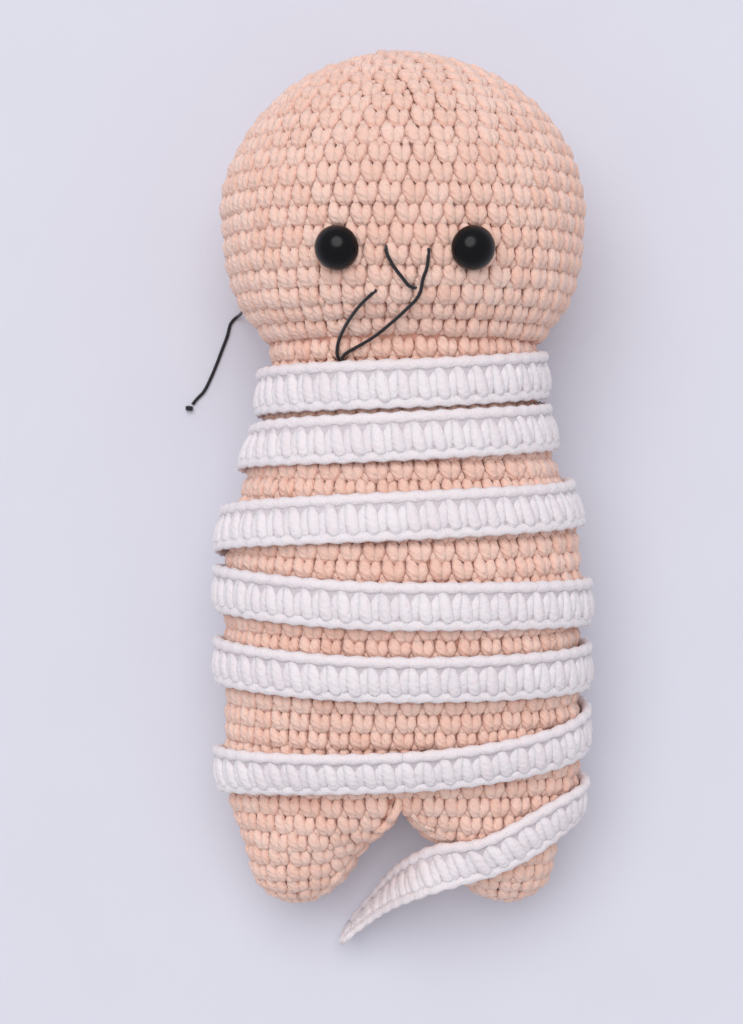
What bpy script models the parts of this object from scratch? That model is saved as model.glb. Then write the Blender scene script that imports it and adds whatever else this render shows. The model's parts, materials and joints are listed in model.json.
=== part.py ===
"""A crocheted doll without arms, lying on its back while a long white strip is wound round it.

The doll lies along Y with its crown at +Y and its face up, at +Z. Left and right are the doll's own,
so its left eye and left leg are at +X. It rests at z = 0 on the back of its head and on the strip.
Every length is in metres. The skin is crocheted in rounds, so head, torso and legs are lofts through
rings across Y, each hollow and filled with its own wad of stuffing. The head turns and nods on a ball
in the neck, and each leg swings on a round hip, so those faces are parts of spheres and cylinders.
"""

import math

import bmesh
import bpy
import numpy as np
from mathutils import Matrix, Vector

# Lengths along the doll
LEG_LENGTH = 0.027
TORSO_LENGTH = 0.101
HEAD_LENGTH = 0.072

# Widths and depths
HEAD_WIDTH = 0.0842
HEAD_DEPTH = 0.0760
NECK_WIDTH = 0.0620
NECK_DEPTH = 0.0540
BODY_WIDTH = 0.0828
BODY_DEPTH = 0.0590
FOOT_ROUND = 0.0075

# Fabric and fits
SKIN = 0.0030
GAP = 0.0003
JOINT_GAP = 0.0006
REST_CUT = 0.0005
OVERRUN = 0.0100

# Neck ball: its centre lies below the line where head and torso meet
NECK_LINE_DROP = 0.0040
NECK_PIVOT_DEPTH = 0.0280
NECK_WAD = 0.0055

# White strip
STRIP_WIDTH = 0.0106
STRIP_THICKNESS = 0.0028
STRIP_CLEARANCE = 0.0007
STRIP_JOIN_GAP = 0.0006

# Safety eyes
EYE_SPACING = 0.0296
EYE_ABOVE_NECK = 0.0236
EYE_DIAMETER = 0.0100
EYE_HEIGHT = 0.0044
EYE_EDGE = 0.0005
POST_DIAMETER = 0.0030
POST_LENGTH = 0.0090
POST_RIDGE = 0.0002
POST_RIDGE_PITCH = 0.0008
POST_RIDGES = 5
WASHER_DIAMETER = 0.0100
WASHER_THICKNESS = 0.0010
WASHER_HUB_DIAMETER = 0.0056
WASHER_HUB_HEIGHT = 0.0020
WASHER_DROP = 0.0011
POCKET_CLEARANCE = 0.0005

# Black thread
THREAD_DIAMETER = 0.0008
THREAD_LIFT = 0.0004
THREAD_STEP = 0.0018
KNOT_DIAMETER = 0.0019

# Places along the doll, worked out from the lengths
FOOT = 0.0
CROTCH = FOOT + LEG_LENGTH
NECK = CROTCH + TORSO_LENGTH
CROWN = NECK + HEAD_LENGTH
DOLL_LENGTH = CROWN - FOOT
NECK_JOINT = NECK - NECK_LINE_DROP
PIVOT_Y = NECK_JOINT - NECK_PIVOT_DEPTH
HIP_RADIUS_SHARE = 0.56
HIP_RADIUS = BODY_DEPTH * HIP_RADIUS_SHARE
HIP_Y = CROTCH + HIP_RADIUS
HIP_HEIGHT_SHARE = 0.25
TORSO_LIFT = STRIP_THICKNESS + STRIP_CLEARANCE - REST_CUT

# Torso outline: place along the torso from crotch 0 to neck 1, then a share of the named size
HIP_WIDTH_SHARES = ((-0.16, 0.85), (-0.12, 0.90), (-0.07, 0.944), (0.0, 0.985), (0.09, 1.0), (1.0, 1.0))
HIP_DEPTH_SHARES = (
    (-0.16, 0.44), (-0.12, 0.50), (-0.07, 0.56), (0.0, 0.61), (0.09, 0.72), (0.18, 0.82),
    (0.38, 0.97), (0.52, 1.0), (1.0, 1.0),
)
NECKING_SHARES = (
    (0.52, 0.0), (0.60, 0.05), (0.68, 0.26), (0.77, 0.55), (0.85, 0.82), (0.92, 0.95), (1.0, 1.0),
)
BACK_HEIGHT_SHARES = (
    (-0.16, 0.62), (-0.12, 0.66), (-0.07, 0.71), (0.0, 0.78), (0.09, 0.85), (0.18, 0.90),
    (0.38, 0.97), (0.52, 1.0), (0.68, 1.005), (0.77, 1.02), (0.85, 1.04), (1.0, 1.07),
)

# Head outline: place from neck 0 to the widest round 1, then how far the cheeks have filled out
HEAD_WIDEST_SHARE = 0.483
CHEEK_SHARES = (
    (0.0, 0.0), (0.10, 0.04), (0.23, 0.30), (0.365, 0.62), (0.50, 0.78), (0.70, 0.935), (1.0, 1.0),
)

# Leg outline: place from foot 0 to crotch 1, then shares of half the body's half width, or of its depth
LEG_CENTRE_SHARES = ((0.0, 1.20), (0.11, 1.19), (0.30, 1.145), (0.555, 1.087), (0.74, 1.043), (1.0, 0.993))
LEG_WIDTH_SHARES = ((0.0, 0.44), (0.11, 0.49), (0.30, 0.59), (0.555, 0.72), (0.74, 0.84), (1.0, 0.975))
LEG_DEPTH_SHARES = ((0.0, 0.30), (0.11, 0.33), (0.30, 0.40), (0.555, 0.48), (0.74, 0.54), (1.0, 0.61))
LEG_HEIGHT_SHARES = ((0.0, 0.50), (0.11, 0.53), (0.30, 0.58), (0.555, 0.66), (0.74, 0.71), (1.0, 0.78))
LEG_ROUND_FROM_SHARE = 0.45
# How far a leg's loft runs up past the crotch, as a share of the hip's radius, before the hip cuts it
LEG_TOP_SHARE = 0.45
# How far from the toe its tip is measured, as a share of the foot's round
TIP_SHARE = 0.001

# Winding: turns counted from the doll's left side, then the strip's middle as a share of the doll's length
WINDING_SHARES = (
    (-0.25, 0.634), (0.0, 0.628), (0.25, 0.612), (0.50, 0.606), (1.0, 0.567), (1.25, 0.553), (1.50, 0.5395),
    (2.0, 0.478), (2.25, 0.4635), (2.50, 0.4455), (3.0, 0.364), (3.25, 0.3645), (3.50, 0.380),
    (4.0, 0.2895), (4.25, 0.2835), (4.50, 0.2955), (5.0, 0.2165), (5.25, 0.177), (5.50, 0.1665),
    (5.75, 0.149), (6.0, 0.1315),
)
STATIONS_PER_TURN = 24

# Loose end over the left leg: turns round the leg from its outer side, then a share of the leg's length
LOOSE_END_SHARES = ((0.0, 0.974), (0.07, 0.87), (0.13, 0.755), (0.20, 0.64), (0.26, 0.555), (0.31, 0.49))
# Then free: shares of the body's half width, of the leg's length and of the body's half depth
FREE_END_SHARES = (
    (0.24, 0.42, 1.20), (0.085, 0.30, 1.04), (-0.03, 0.17, 0.77), (-0.125, 0.01, 0.50),
    (-0.215, -0.16, 0.31), (-0.335, -0.37, 0.19),
)
# The way the strip's outer face looks at each of those points
FREE_END_FACINGS = (
    (-0.62, -0.10, 0.78), (-0.80, 0.05, 0.60), (-0.86, 0.22, 0.45), (-0.87, 0.38, 0.30),
    (-0.86, 0.50, 0.12), (-0.80, 0.60, 0.0),
)
FREE_END_STATIONS = 16

# Across the strip: a share of its width, then a share of its thickness
STRIP_SECTION_SHARES = (
    (-0.42, 0.0), (0.0, 0.0), (0.42, 0.0), (0.5, 0.5), (0.42, 1.0), (0.0, 1.0), (-0.42, 1.0), (-0.5, 0.5),
)

# Threads on the face: each point is a distance from the middle and one along the doll
FACE_THREAD_UPPER = (
    (-0.0041, 0.1516), (-0.0039, 0.1502), (-0.0023, 0.1474), (-0.0004, 0.1450), (0.0011, 0.1433),
    (0.0020, 0.1429),
)
FACE_THREAD_LOWER_LEFT = (
    (0.0052, 0.1503), (0.0048, 0.1476), (0.0039, 0.1450), (0.0034, 0.1424), (0.0024, 0.1407),
    (0.0004, 0.1389), (-0.0026, 0.1363), (-0.0066, 0.1332), (-0.0103, 0.1307), (-0.0131, 0.1290),
)
FACE_THREAD_LOWER_RIGHT = (
    (-0.0063, 0.1422), (-0.0081, 0.1411), (-0.0105, 0.1389), (-0.0127, 0.1359), (-0.0139, 0.1337),
    (-0.0145, 0.1315), (-0.0147, 0.1290),
)
# The thread that comes out of the head's side and lies on the table
THREAD_TAIL_ROUTE = (
    (-0.0342, 0.1425, 0.0188), (-0.0356, 0.1426, 0.0176), (-0.0372, 0.1428, 0.0150),
    (-0.0384, 0.1427, 0.0110), (-0.0391, 0.1425, 0.0070), (-0.0396, 0.1424, 0.0035),
    (-0.0402, 0.1421, 0.0014), (-0.0413, 0.1414, 0.0006), (-0.0423, 0.1400, 0.0005),
    (-0.0430, 0.1372, 0.0005), (-0.0443, 0.1338, 0.0005), (-0.0455, 0.1306, 0.0005),
    (-0.0470, 0.1270, 0.0005), (-0.0487, 0.1236, 0.0005), (-0.0505, 0.1217, 0.0005),
    (-0.0516, 0.1203, 0.0005),
)

# Facets: points round a ring, then rings along a piece
ROUND = 28
HOLLOW_ROUND = 24
LEG_ROUND = 22
LEG_HOLLOW_ROUND = 16
BALL_ROUND = 40
BALL_RINGS = 20
EYE_ROUND = 20
KNOT_ROUND = 12
TORSO_RINGS = 17
TORSO_HOLLOW_RINGS = 16
HEAD_RINGS = (10, 10)
HEAD_HOLLOW_RINGS = (10, 8)
TOE_RINGS = 5
LEG_RINGS = 10
WAD_RINGS = 6
DOME_RINGS = 8
KNOT_RINGS = 8
CURVE_STEPS = 24
SHARP_ANGLE = math.radians(40)

for old in list(bpy.data.objects):
    bpy.data.objects.remove(old, do_unlink=True)


# Materials

def yarn(name, colour, roughness, metallic=0.0):
    material = bpy.data.materials.new(name)
    material.use_nodes = True
    shader = material.node_tree.nodes["Principled BSDF"]
    shader.inputs["Base Color"].default_value = (*colour, 1.0)
    shader.inputs["Roughness"].default_value = roughness
    shader.inputs["Metallic"].default_value = metallic
    material.diffuse_color = (*colour, 1.0)
    return material


PEACH = yarn("peach_cotton", (0.82, 0.55, 0.44), 0.9)
WHITE = yarn("white_cotton", (0.82, 0.80, 0.81), 0.9)
FILL = yarn("polyester_fill", (0.86, 0.86, 0.84), 1.0)
BLACK = yarn("black_plastic", (0.012, 0.012, 0.016), 0.12)
CLEAR = yarn("washer_plastic", (0.75, 0.75, 0.72), 0.4)
THREAD = yarn("black_thread", (0.02, 0.018, 0.024), 0.7)


# Curves through tables

def smooth(table, place):
    """The value at a place on a smooth curve through a table, which never swings past its points."""
    xs = np.array([row[0] for row in table])
    ys = np.array([row[1] for row in table])
    place = min(max(place, xs[0]), xs[-1])
    slopes = np.diff(ys) / np.diff(xs)
    tangents = np.zeros(len(xs))
    for i in range(1, len(xs) - 1):
        if slopes[i - 1] * slopes[i] > 0:
            tangents[i] = 2 * slopes[i - 1] * slopes[i] / (slopes[i - 1] + slopes[i])
    tangents[0], tangents[-1] = slopes[0], slopes[-1]
    i = min(int(np.searchsorted(xs, place, side="right")) - 1, len(xs) - 2)
    width = xs[i + 1] - xs[i]
    t = (place - xs[i]) / width
    return (
        (2 * t**3 - 3 * t**2 + 1) * ys[i]
        + (t**3 - 2 * t**2 + t) * width * tangents[i]
        + (3 * t**2 - 2 * t**3) * ys[i + 1]
        + (t**3 - t**2) * width * tangents[i + 1]
    )


def mixed(start, end, share):
    return start + (end - start) * share


def curve_through(points, count):
    """Evenly spaced points on a smooth curve through a few chosen ones."""
    points = np.array(points, float)
    padded = np.vstack([2 * points[0] - points[1], points, 2 * points[-1] - points[-2]])
    fine = []
    for i in range(1, len(padded) - 2):
        a, b, c, d = padded[i - 1], padded[i], padded[i + 1], padded[i + 2]
        for t in np.linspace(0, 1, CURVE_STEPS, endpoint=False):
            straight = 2 * b + (c - a) * t
            bend = (2 * a - 5 * b + 4 * c - d) * t**2 + (3 * b - a - 3 * c + d) * t**3
            fine.append((straight + bend) / 2)
    fine = np.array([*fine, points[-1]])
    run = np.concatenate([[0.0], np.cumsum(np.linalg.norm(np.diff(fine[:, :3], axis=0), axis=1))])
    wanted = np.linspace(0, run[-1], count)
    return np.column_stack([np.interp(wanted, run, fine[:, k]) for k in range(fine.shape[1])])


# Cross-sections of the doll: half width, half depth and the height of the middle

def torso_section(y):
    place = (y - CROTCH) / TORSO_LENGTH
    necking = smooth(NECKING_SHARES, place)
    half_width = mixed(BODY_WIDTH / 2 * smooth(HIP_WIDTH_SHARES, place), NECK_WIDTH / 2, necking)
    half_depth = mixed(BODY_DEPTH / 2 * smooth(HIP_DEPTH_SHARES, place), NECK_DEPTH / 2, necking)
    height = TORSO_LIFT + BODY_DEPTH / 2 * smooth(BACK_HEIGHT_SHARES, place)
    return half_width, half_depth, height


HEAD_HEIGHT = HEAD_DEPTH / 2 - REST_CUT
HEAD_WIDEST = NECK + HEAD_LENGTH * HEAD_WIDEST_SHARE
PIVOT_Z = torso_section(NECK)[2]
NECK_BALL = math.hypot(NECK_PIVOT_DEPTH, NECK_WIDTH / 2)


def head_section(y, inset=0.0):
    """The head at a height below the crown, with its surface moved in by an inset."""
    if y > HEAD_WIDEST:
        rise = (y - HEAD_WIDEST) / (CROWN - inset - HEAD_WIDEST)
        share = math.sqrt(max(0.0, 1 - rise**2))
        return (HEAD_WIDTH / 2 - inset) * share, (HEAD_DEPTH / 2 - inset) * share, HEAD_HEIGHT
    fullness = smooth(CHEEK_SHARES, (y - NECK) / (HEAD_WIDEST - NECK))
    half_width = mixed(NECK_WIDTH / 2, HEAD_WIDTH / 2, fullness) - inset
    half_depth = mixed(NECK_DEPTH / 2, HEAD_DEPTH / 2, fullness) - inset
    return half_width, half_depth, mixed(PIVOT_Z, HEAD_HEIGHT, fullness)


def skin_section(y):
    return torso_section(y) if y < NECK else head_section(y)


def leg_point(y, angle, inset=0.0):
    """A point on the left leg. Above the crotch it is half of the torso, below it turns round."""
    body_width, body_depth, body_height = torso_section(y)
    wide, deep = body_width - inset, body_depth - inset
    wall = JOINT_GAP / 2 + inset
    middle = (wide + wall) / 2
    along, up = math.cos(angle), math.sin(angle)
    square = (along / wide) ** 2 + (up / deep) ** 2
    slope = middle * along / wide**2
    reach = (-slope + math.sqrt(slope**2 - square * ((middle / wide) ** 2 - 1))) / square
    if along < 0:
        reach = min(reach, (middle - wall) / -along)
    half = Vector((middle + reach * along, y, body_height + reach * up))
    if y >= CROTCH:
        return half
    place = y / LEG_LENGTH
    quarter = BODY_WIDTH / 4
    stump = min(1.0, max(0.0, (FOOT_ROUND - y) / (FOOT_ROUND - inset)))
    rounding = math.sqrt(1 - stump**2)
    radius_x = (quarter * smooth(LEG_WIDTH_SHARES, place) - inset) * rounding
    radius_z = (BODY_DEPTH / 2 * smooth(LEG_DEPTH_SHARES, place) - inset) * rounding
    round_one = Vector((
        quarter * smooth(LEG_CENTRE_SHARES, place) + radius_x * along,
        y,
        TORSO_LIFT + BODY_DEPTH / 2 * smooth(LEG_HEIGHT_SHARES, place) + radius_z * up,
    ))
    turned_round = min(1.0, (1 - place) / (1 - LEG_ROUND_FROM_SHARE))
    turned_round = turned_round**2 * (3 - 2 * turned_round)
    return half.lerp(round_one, turned_round)


def head_front(x, y):
    """The point on the face above a place, and the way the face looks there."""
    def height(px, py):
        half_width, half_depth, middle = head_section(py)
        return middle + half_depth * math.sqrt(1 - (px / half_width) ** 2)

    step = THREAD_DIAMETER
    along_x = (height(x + step, y) - height(x - step, y)) / (2 * step)
    along_y = (height(x, y + step) - height(x, y - step)) / (2 * step)
    return Vector((x, y, height(x, y))), Vector((-along_x, -along_y, 1.0)).normalized()


# Mesh tools

def add_object(name, mesh, material, parent=None, matrix=None):
    mesh.materials.append(material)
    mesh.shade_smooth()
    mesh.set_sharp_from_angle(angle=SHARP_ANGLE)
    obj = bpy.data.objects.new(name, mesh)
    bpy.context.scene.collection.objects.link(obj)
    if parent:
        obj.parent = parent
        obj.matrix_parent_inverse = parent.matrix_world.inverted()
    if matrix:
        obj.matrix_world = matrix
    return obj


def closed_mesh(name, points, faces):
    """A mesh with its faces turned outwards."""
    mesh = bpy.data.meshes.new(name)
    mesh.from_pydata(points, [], faces)
    shape = bmesh.new()
    shape.from_mesh(mesh)
    bmesh.ops.recalc_face_normals(shape, faces=shape.faces)
    shape.to_mesh(mesh)
    shape.free()
    return mesh


def loft_mesh(name, rings, first=None, last=None):
    """A skin through rings of points, closed by a face at each end or drawn to a point."""
    around = len(rings[0])
    points = [tuple(point) for ring in rings for point in ring]
    faces = []
    for ring in range(len(rings) - 1):
        for k in range(around):
            a, b = ring * around + k, ring * around + (k + 1) % around
            faces.append((a, b, b + around, a + around))
    top = (len(rings) - 1) * around
    for pole, base in ((first, 0), (last, top)):
        if pole is None:
            faces.append(tuple(base + k for k in range(around)))
        else:
            points.append(tuple(pole))
            faces += [(base + k, base + (k + 1) % around, len(points) - 1) for k in range(around)]
    return closed_mesh(name, points, faces)


def turned_mesh(name, profile, segments, closed=False):
    """A profile of radius and height turned about Z. A closed profile makes a ring."""
    points, rows = [], []
    for radius, height in profile:
        if radius == 0:
            rows.append([len(points)])
            points.append((0.0, 0.0, height))
            continue
        rows.append(list(range(len(points), len(points) + segments)))
        for k in range(segments):
            angle = 2 * math.pi * k / segments
            points.append((radius * math.cos(angle), radius * math.sin(angle), height))
    faces = []
    pairs = list(zip(rows, rows[1:] + rows[:1])) if closed else list(zip(rows, rows[1:]))
    for low, high in pairs:
        for k in range(segments):
            n = (k + 1) % segments
            corners = [low[k % len(low)], low[n % len(low)], high[n % len(high)], high[k % len(high)]]
            faces.append(tuple(dict.fromkeys(corners)))
    return closed_mesh(name, points, faces)


def cutter(name, mesh, matrix=None):
    obj = bpy.data.objects.new(name, mesh)
    bpy.context.scene.collection.objects.link(obj)
    if matrix:
        obj.matrix_world = matrix
    obj.hide_render = True
    obj.display_type = "WIRE"
    return obj


def cut(obj, tool, operation="DIFFERENCE"):
    modifier = obj.modifiers.new(tool.name, "BOOLEAN")
    modifier.operation = operation
    modifier.object = tool
    modifier.solver = "EXACT"


def box_mesh(name, low, high):
    corners = [(x, y, z) for x in (low[0], high[0]) for y in (low[1], high[1]) for z in (low[2], high[2])]
    sides = ((0, 1, 3, 2), (4, 5, 7, 6), (0, 1, 5, 4), (2, 3, 7, 6), (0, 2, 6, 4), (1, 3, 7, 5))
    return closed_mesh(name, corners, sides)


def empty(name, place, parent=None, matrix=None):
    obj = bpy.data.objects.new(name, None)
    bpy.context.scene.collection.objects.link(obj)
    obj.matrix_world = matrix if matrix else Matrix.Translation(place)
    bpy.context.view_layer.update()
    if parent:
        world = obj.matrix_world.copy()
        obj.parent = parent
        obj.matrix_parent_inverse = parent.matrix_world.inverted()
        obj.matrix_world = world
    return obj


def oval(y, half_width, half_depth, height, around):
    """One ring across the doll."""
    turn = 2 * math.pi / around
    return [
        (half_width * math.cos(turn * k), y, height + half_depth * math.sin(turn * k)) for k in range(around)
    ]


# Bodies, each on the axis that it moves about

HIP_Z = torso_section(CROTCH + HIP_RADIUS * HIP_HEIGHT_SHARE)[2]
pivot = (0.0, PIVOT_Y, PIVOT_Z)
ALONG_NECK = Matrix.Translation(pivot) @ Matrix.Rotation(-math.pi / 2, 4, "X")
torso_body = empty("torso_body", (0.0, 0.0, 0.0))
neck_body = empty("neck_body", pivot, torso_body)
head_body = empty("head_body", pivot, neck_body)
left_leg_body = empty("left_leg_body", (0.0, HIP_Y, HIP_Z), torso_body)
right_leg_body = empty("right_leg_body", (0.0, HIP_Y, HIP_Z), torso_body)


# Tools that shape the neck ball, the hips and the table side

def ball_bounds(name, radius):
    """All of the torso's side of a sphere: the ball's upper half, and everything below its middle."""
    far = DOLL_LENGTH
    profile = [(0.0, radius)]
    for k in range(1, BALL_RINGS // 2 + 1):
        angle = math.pi * k / BALL_RINGS
        profile.append((radius * math.sin(angle), radius * math.cos(angle)))
    profile += [(far, 0.0), (far, -far), (0.0, -far)]
    return cutter(name, turned_mesh(name, profile, BALL_ROUND), ALONG_NECK)


def ball(name, radius):
    profile = [(0.0, radius)]
    for k in range(1, BALL_RINGS):
        angle = math.pi * k / BALL_RINGS
        profile.append((radius * math.sin(angle), radius * math.cos(angle)))
    profile.append((0.0, -radius))
    return cutter(name, turned_mesh(name, profile, BALL_ROUND), ALONG_NECK)


def prism_mesh(name, outline, half_length):
    """An outline of places along Y and Z, drawn out along X."""
    ends = [[(x, y, z) for y, z in outline] for x in (-half_length, half_length)]
    return loft_mesh(name, ends)


def hip_arc(radius):
    steps = BALL_ROUND // 2
    return [
        (HIP_Y - radius * math.sin(math.pi * k / steps), HIP_Z - radius * math.cos(math.pi * k / steps))
        for k in range(steps + 1)
    ]


def hip_bounds(name, radius):
    """All of the torso's side of the hips: round below, open above."""
    far = DOLL_LENGTH
    above = [(HIP_Y, HIP_Z + far), (CROWN, HIP_Z + far), (CROWN, HIP_Z - far)]
    outline = [(HIP_Y, HIP_Z - far), *hip_arc(radius), *above]
    return cutter(name, prism_mesh(name, outline, BODY_WIDTH))


def hip_roller(name, radius):
    outline = hip_arc(radius) + [(HIP_Y + radius, HIP_Z + radius), (HIP_Y + radius, HIP_Z - radius)]
    return cutter(name, prism_mesh(name, outline, BODY_WIDTH))


torso_ball = ball_bounds("torso_ball_tool", NECK_BALL)
wad_ball = ball_bounds("stuffing_ball_tool", NECK_BALL - NECK_WAD - JOINT_GAP)
head_ball = ball("head_ball_tool", NECK_BALL + JOINT_GAP)
torso_hips = hip_bounds("torso_hip_tool", HIP_RADIUS)
leg_hips = hip_roller("leg_hip_tool", HIP_RADIUS + JOINT_GAP)
table = cutter(
    "table_tool",
    box_mesh("table_tool", (-BODY_WIDTH, -OVERRUN, -BODY_DEPTH), (BODY_WIDTH, CROWN + OVERRUN, 0.0)),
)


# Torso

def torso_loft(name, inset, start, end, rings, around):
    sections = []
    for k in range(rings + 1):
        y = mixed(start, end, k / rings)
        half_width, half_depth, height = torso_section(y)
        sections.append(oval(y, half_width - inset, half_depth - inset, height, around))
    return loft_mesh(name, sections)


def make_torso():
    low, high = CROTCH - OVERRUN / 2, PIVOT_Y + NECK_BALL + OVERRUN / 2
    outside = torso_loft("torso_skin", 0.0, low, high, TORSO_RINGS, ROUND)
    skin = add_object("torso_skin", outside, PEACH, torso_body)
    low, high = low - OVERRUN / 4, high + OVERRUN / 4
    inside = torso_loft("torso_hollow_tool", SKIN, low, high, TORSO_HOLLOW_RINGS, HOLLOW_ROUND)
    cut(skin, cutter("torso_hollow_tool", inside))
    cut(skin, torso_ball, "INTERSECT")
    cut(skin, torso_hips, "INTERSECT")
    stuffing = torso_loft("torso_stuffing", SKIN + GAP, low, high, TORSO_HOLLOW_RINGS, HOLLOW_ROUND)
    fill = add_object("torso_stuffing", stuffing, FILL, torso_body)
    cut(fill, wad_ball, "INTERSECT")
    cut(fill, torso_hips, "INTERSECT")


def make_neck():
    """The firm wad in the neck: a round cap between two balls about the pivot, inside the torso's skin."""
    top = NECK_BALL - GAP
    bottom = NECK_BALL - NECK_WAD
    rim = NECK_DEPTH / 2 - SKIN - JOINT_GAP
    profile = [(0.0, bottom)]
    for radius, order in ((bottom, range(1, WAD_RINGS + 1)), (top, range(WAD_RINGS, 0, -1))):
        for k in order:
            distance = rim * k / WAD_RINGS
            profile.append((distance, math.sqrt(radius**2 - distance**2)))
    profile.append((0.0, top))
    wad = turned_mesh("neck_stuffing", profile, BALL_ROUND // 2)
    add_object("neck_stuffing", wad, FILL, neck_body, ALONG_NECK)


# Head

def head_loft(name, inset, start, rings, around):
    """The head from its neck to its crown, with rings below and above its widest round."""
    rings_below, rings_above = rings
    sections = []
    for k in range(rings_below):
        y = mixed(start, HEAD_WIDEST, k / rings_below)
        half_width, half_depth, height = head_section(y, inset)
        sections.append(oval(y, half_width, half_depth, height, around))
    for k in range(rings_above):
        y = HEAD_WIDEST + (CROWN - inset - HEAD_WIDEST) * math.sin(math.pi / 2 * k / rings_above)
        half_width, half_depth, height = head_section(y, inset)
        sections.append(oval(y, half_width, half_depth, height, around))
    return loft_mesh(name, sections, last=(0.0, CROWN - inset, HEAD_HEIGHT))


def eye_matrix(side):
    """Where an eye sits on the face, its own Z pointing out along the skin's normal."""
    place, facing = head_front(side * EYE_SPACING / 2, NECK + EYE_ABOVE_NECK)
    return Matrix.Translation(place) @ facing.to_track_quat("Z", "Y").to_matrix().to_4x4()


def make_head():
    start = NECK_JOINT - OVERRUN
    outside = head_loft("head_skin", 0.0, start, HEAD_RINGS, ROUND)
    skin = add_object("head_skin", outside, PEACH, head_body)
    inside = head_loft("head_hollow_tool", SKIN, start - OVERRUN, HEAD_HOLLOW_RINGS, HOLLOW_ROUND)
    cut(skin, cutter("head_hollow_tool", inside))
    cut(skin, head_ball)
    cut(skin, table)
    stuffing = head_loft("head_stuffing", SKIN + GAP, start - OVERRUN, HEAD_HOLLOW_RINGS, HOLLOW_ROUND)
    fill = add_object("head_stuffing", stuffing, FILL, head_body)
    cut(fill, head_ball)
    hole_radius = POST_DIAMETER / 2 + POST_RIDGE + GAP
    pocket_radius = WASHER_DIAMETER / 2 + POCKET_CLEARANCE
    pocket_end = -POST_LENGTH - POCKET_CLEARANCE
    for name, side in (("left", 1), ("right", -1)):
        for target, tool, radius, depth in (
            (skin, name + "_hole_tool", hole_radius, -SKIN - OVERRUN),
            (fill, name + "_pocket_tool", pocket_radius, pocket_end),
        ):
            profile = [(0.0, depth), (radius, depth), (radius, OVERRUN), (0.0, OVERRUN)]
            cut(target, cutter(tool, turned_mesh(tool, profile, EYE_ROUND), eye_matrix(side)))


# Safety eyes

def eye_profile():
    post = POST_DIAMETER / 2
    profile = [(0.0, -POST_LENGTH), (post - POST_RIDGE, -POST_LENGTH)]
    foot = -POST_LENGTH + POST_RIDGE_PITCH
    for k in range(POST_RIDGES):
        low = foot + k * POST_RIDGE_PITCH
        profile += [(post, low), (post + POST_RIDGE, low + POST_RIDGE_PITCH / 2)]
    ridges_end = foot + POST_RIDGES * POST_RIDGE_PITCH
    profile += [(post, ridges_end), (post, GAP), (EYE_DIAMETER / 2 - EYE_EDGE, GAP)]
    rim = GAP + EYE_EDGE
    for k in range(DOME_RINGS):
        angle = math.pi / 2 * k / DOME_RINGS
        profile.append((EYE_DIAMETER / 2 * math.cos(angle), rim + (EYE_HEIGHT - EYE_EDGE) * math.sin(angle)))
    profile.append((0.0, GAP + EYE_HEIGHT))
    return profile


def washer_profile():
    hole = POST_DIAMETER / 2 + POST_RIDGE + GAP
    rim, hub = WASHER_DIAMETER / 2, WASHER_HUB_DIAMETER / 2
    top = -SKIN - WASHER_DROP
    return [
        (hole, top), (rim, top), (rim, top - WASHER_THICKNESS), (hub, top - WASHER_THICKNESS),
        (hub, top - WASHER_HUB_HEIGHT), (hole, top - WASHER_HUB_HEIGHT),
    ]


def make_eyes():
    for name, side in (("left", 1), ("right", -1)):
        place = eye_matrix(side)
        seat = empty(name + "_eye_body", (0.0, 0.0, 0.0), head_body, place)
        add_object(name + "_eye", turned_mesh(name + "_eye", eye_profile(), EYE_ROUND), BLACK, seat, place)
        washer = turned_mesh(name + "_eye_washer", washer_profile(), EYE_ROUND, closed=True)
        add_object(name + "_eye_washer", washer, CLEAR, seat, place)
        print(name, "eye seat", [round(v, 5) for v in place.translation],
              "axis", [round(v, 5) for v in place.to_3x3() @ Vector((0, 0, 1))])


# Legs

def leg_loft(name, side, inset, around):
    high = CROTCH + HIP_RADIUS * LEG_TOP_SHARE
    toe_turn = math.pi / 2 / TOE_RINGS
    heights = [mixed(inset, FOOT_ROUND, 1 - math.cos(toe_turn * k)) for k in range(1, TOE_RINGS + 1)]
    heights += [mixed(FOOT_ROUND, high, k / LEG_RINGS) for k in range(1, LEG_RINGS + 1)]
    turn = 2 * math.pi / around
    sections = []
    for y in heights:
        ring = [leg_point(y, turn * k, inset) for k in range(around)]
        sections.append([(side * point.x, point.y, point.z) for point in ring])
    near_toe = inset + FOOT_ROUND * TIP_SHARE
    middle = (leg_point(near_toe, 0.0, inset) + leg_point(near_toe, math.pi, inset)) / 2
    return loft_mesh(name, sections, first=(side * middle.x, inset, middle.z))


def make_legs():
    for name, side, body in (("left", 1, left_leg_body), ("right", -1, right_leg_body)):
        outside = leg_loft(name + "_leg_skin", side, 0.0, LEG_ROUND)
        skin = add_object(name + "_leg_skin", outside, PEACH, body)
        inside = leg_loft(name + "_leg_hollow_tool", side, SKIN, LEG_HOLLOW_ROUND)
        cut(skin, leg_hips)
        cut(skin, cutter(name + "_leg_hollow_tool", inside))
        stuffing = leg_loft(name + "_leg_stuffing", side, SKIN + JOINT_GAP, LEG_HOLLOW_ROUND)
        fill = add_object(name + "_leg_stuffing", stuffing, FILL, body)
        cut(fill, leg_hips)


# White strip

def on_doll(angle, y):
    half_width, half_depth, height = skin_section(y)
    return Vector((half_width * math.cos(angle), y, height + half_depth * math.sin(angle)))


def on_leg(angle, y):
    return leg_point(y, angle)


def over_skin(surface, turn, y, lift):
    """A point at a lift over a surface, at a number of turns round it, and the way the surface faces."""
    angle = 2 * math.pi * turn
    small = STRIP_THICKNESS / 10
    around = surface(angle + small / BODY_DEPTH, y) - surface(angle - small / BODY_DEPTH, y)
    along = surface(angle, y + small) - surface(angle, y - small)
    facing = along.cross(around).normalized()
    return surface(angle, y) + facing * lift, facing


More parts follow.
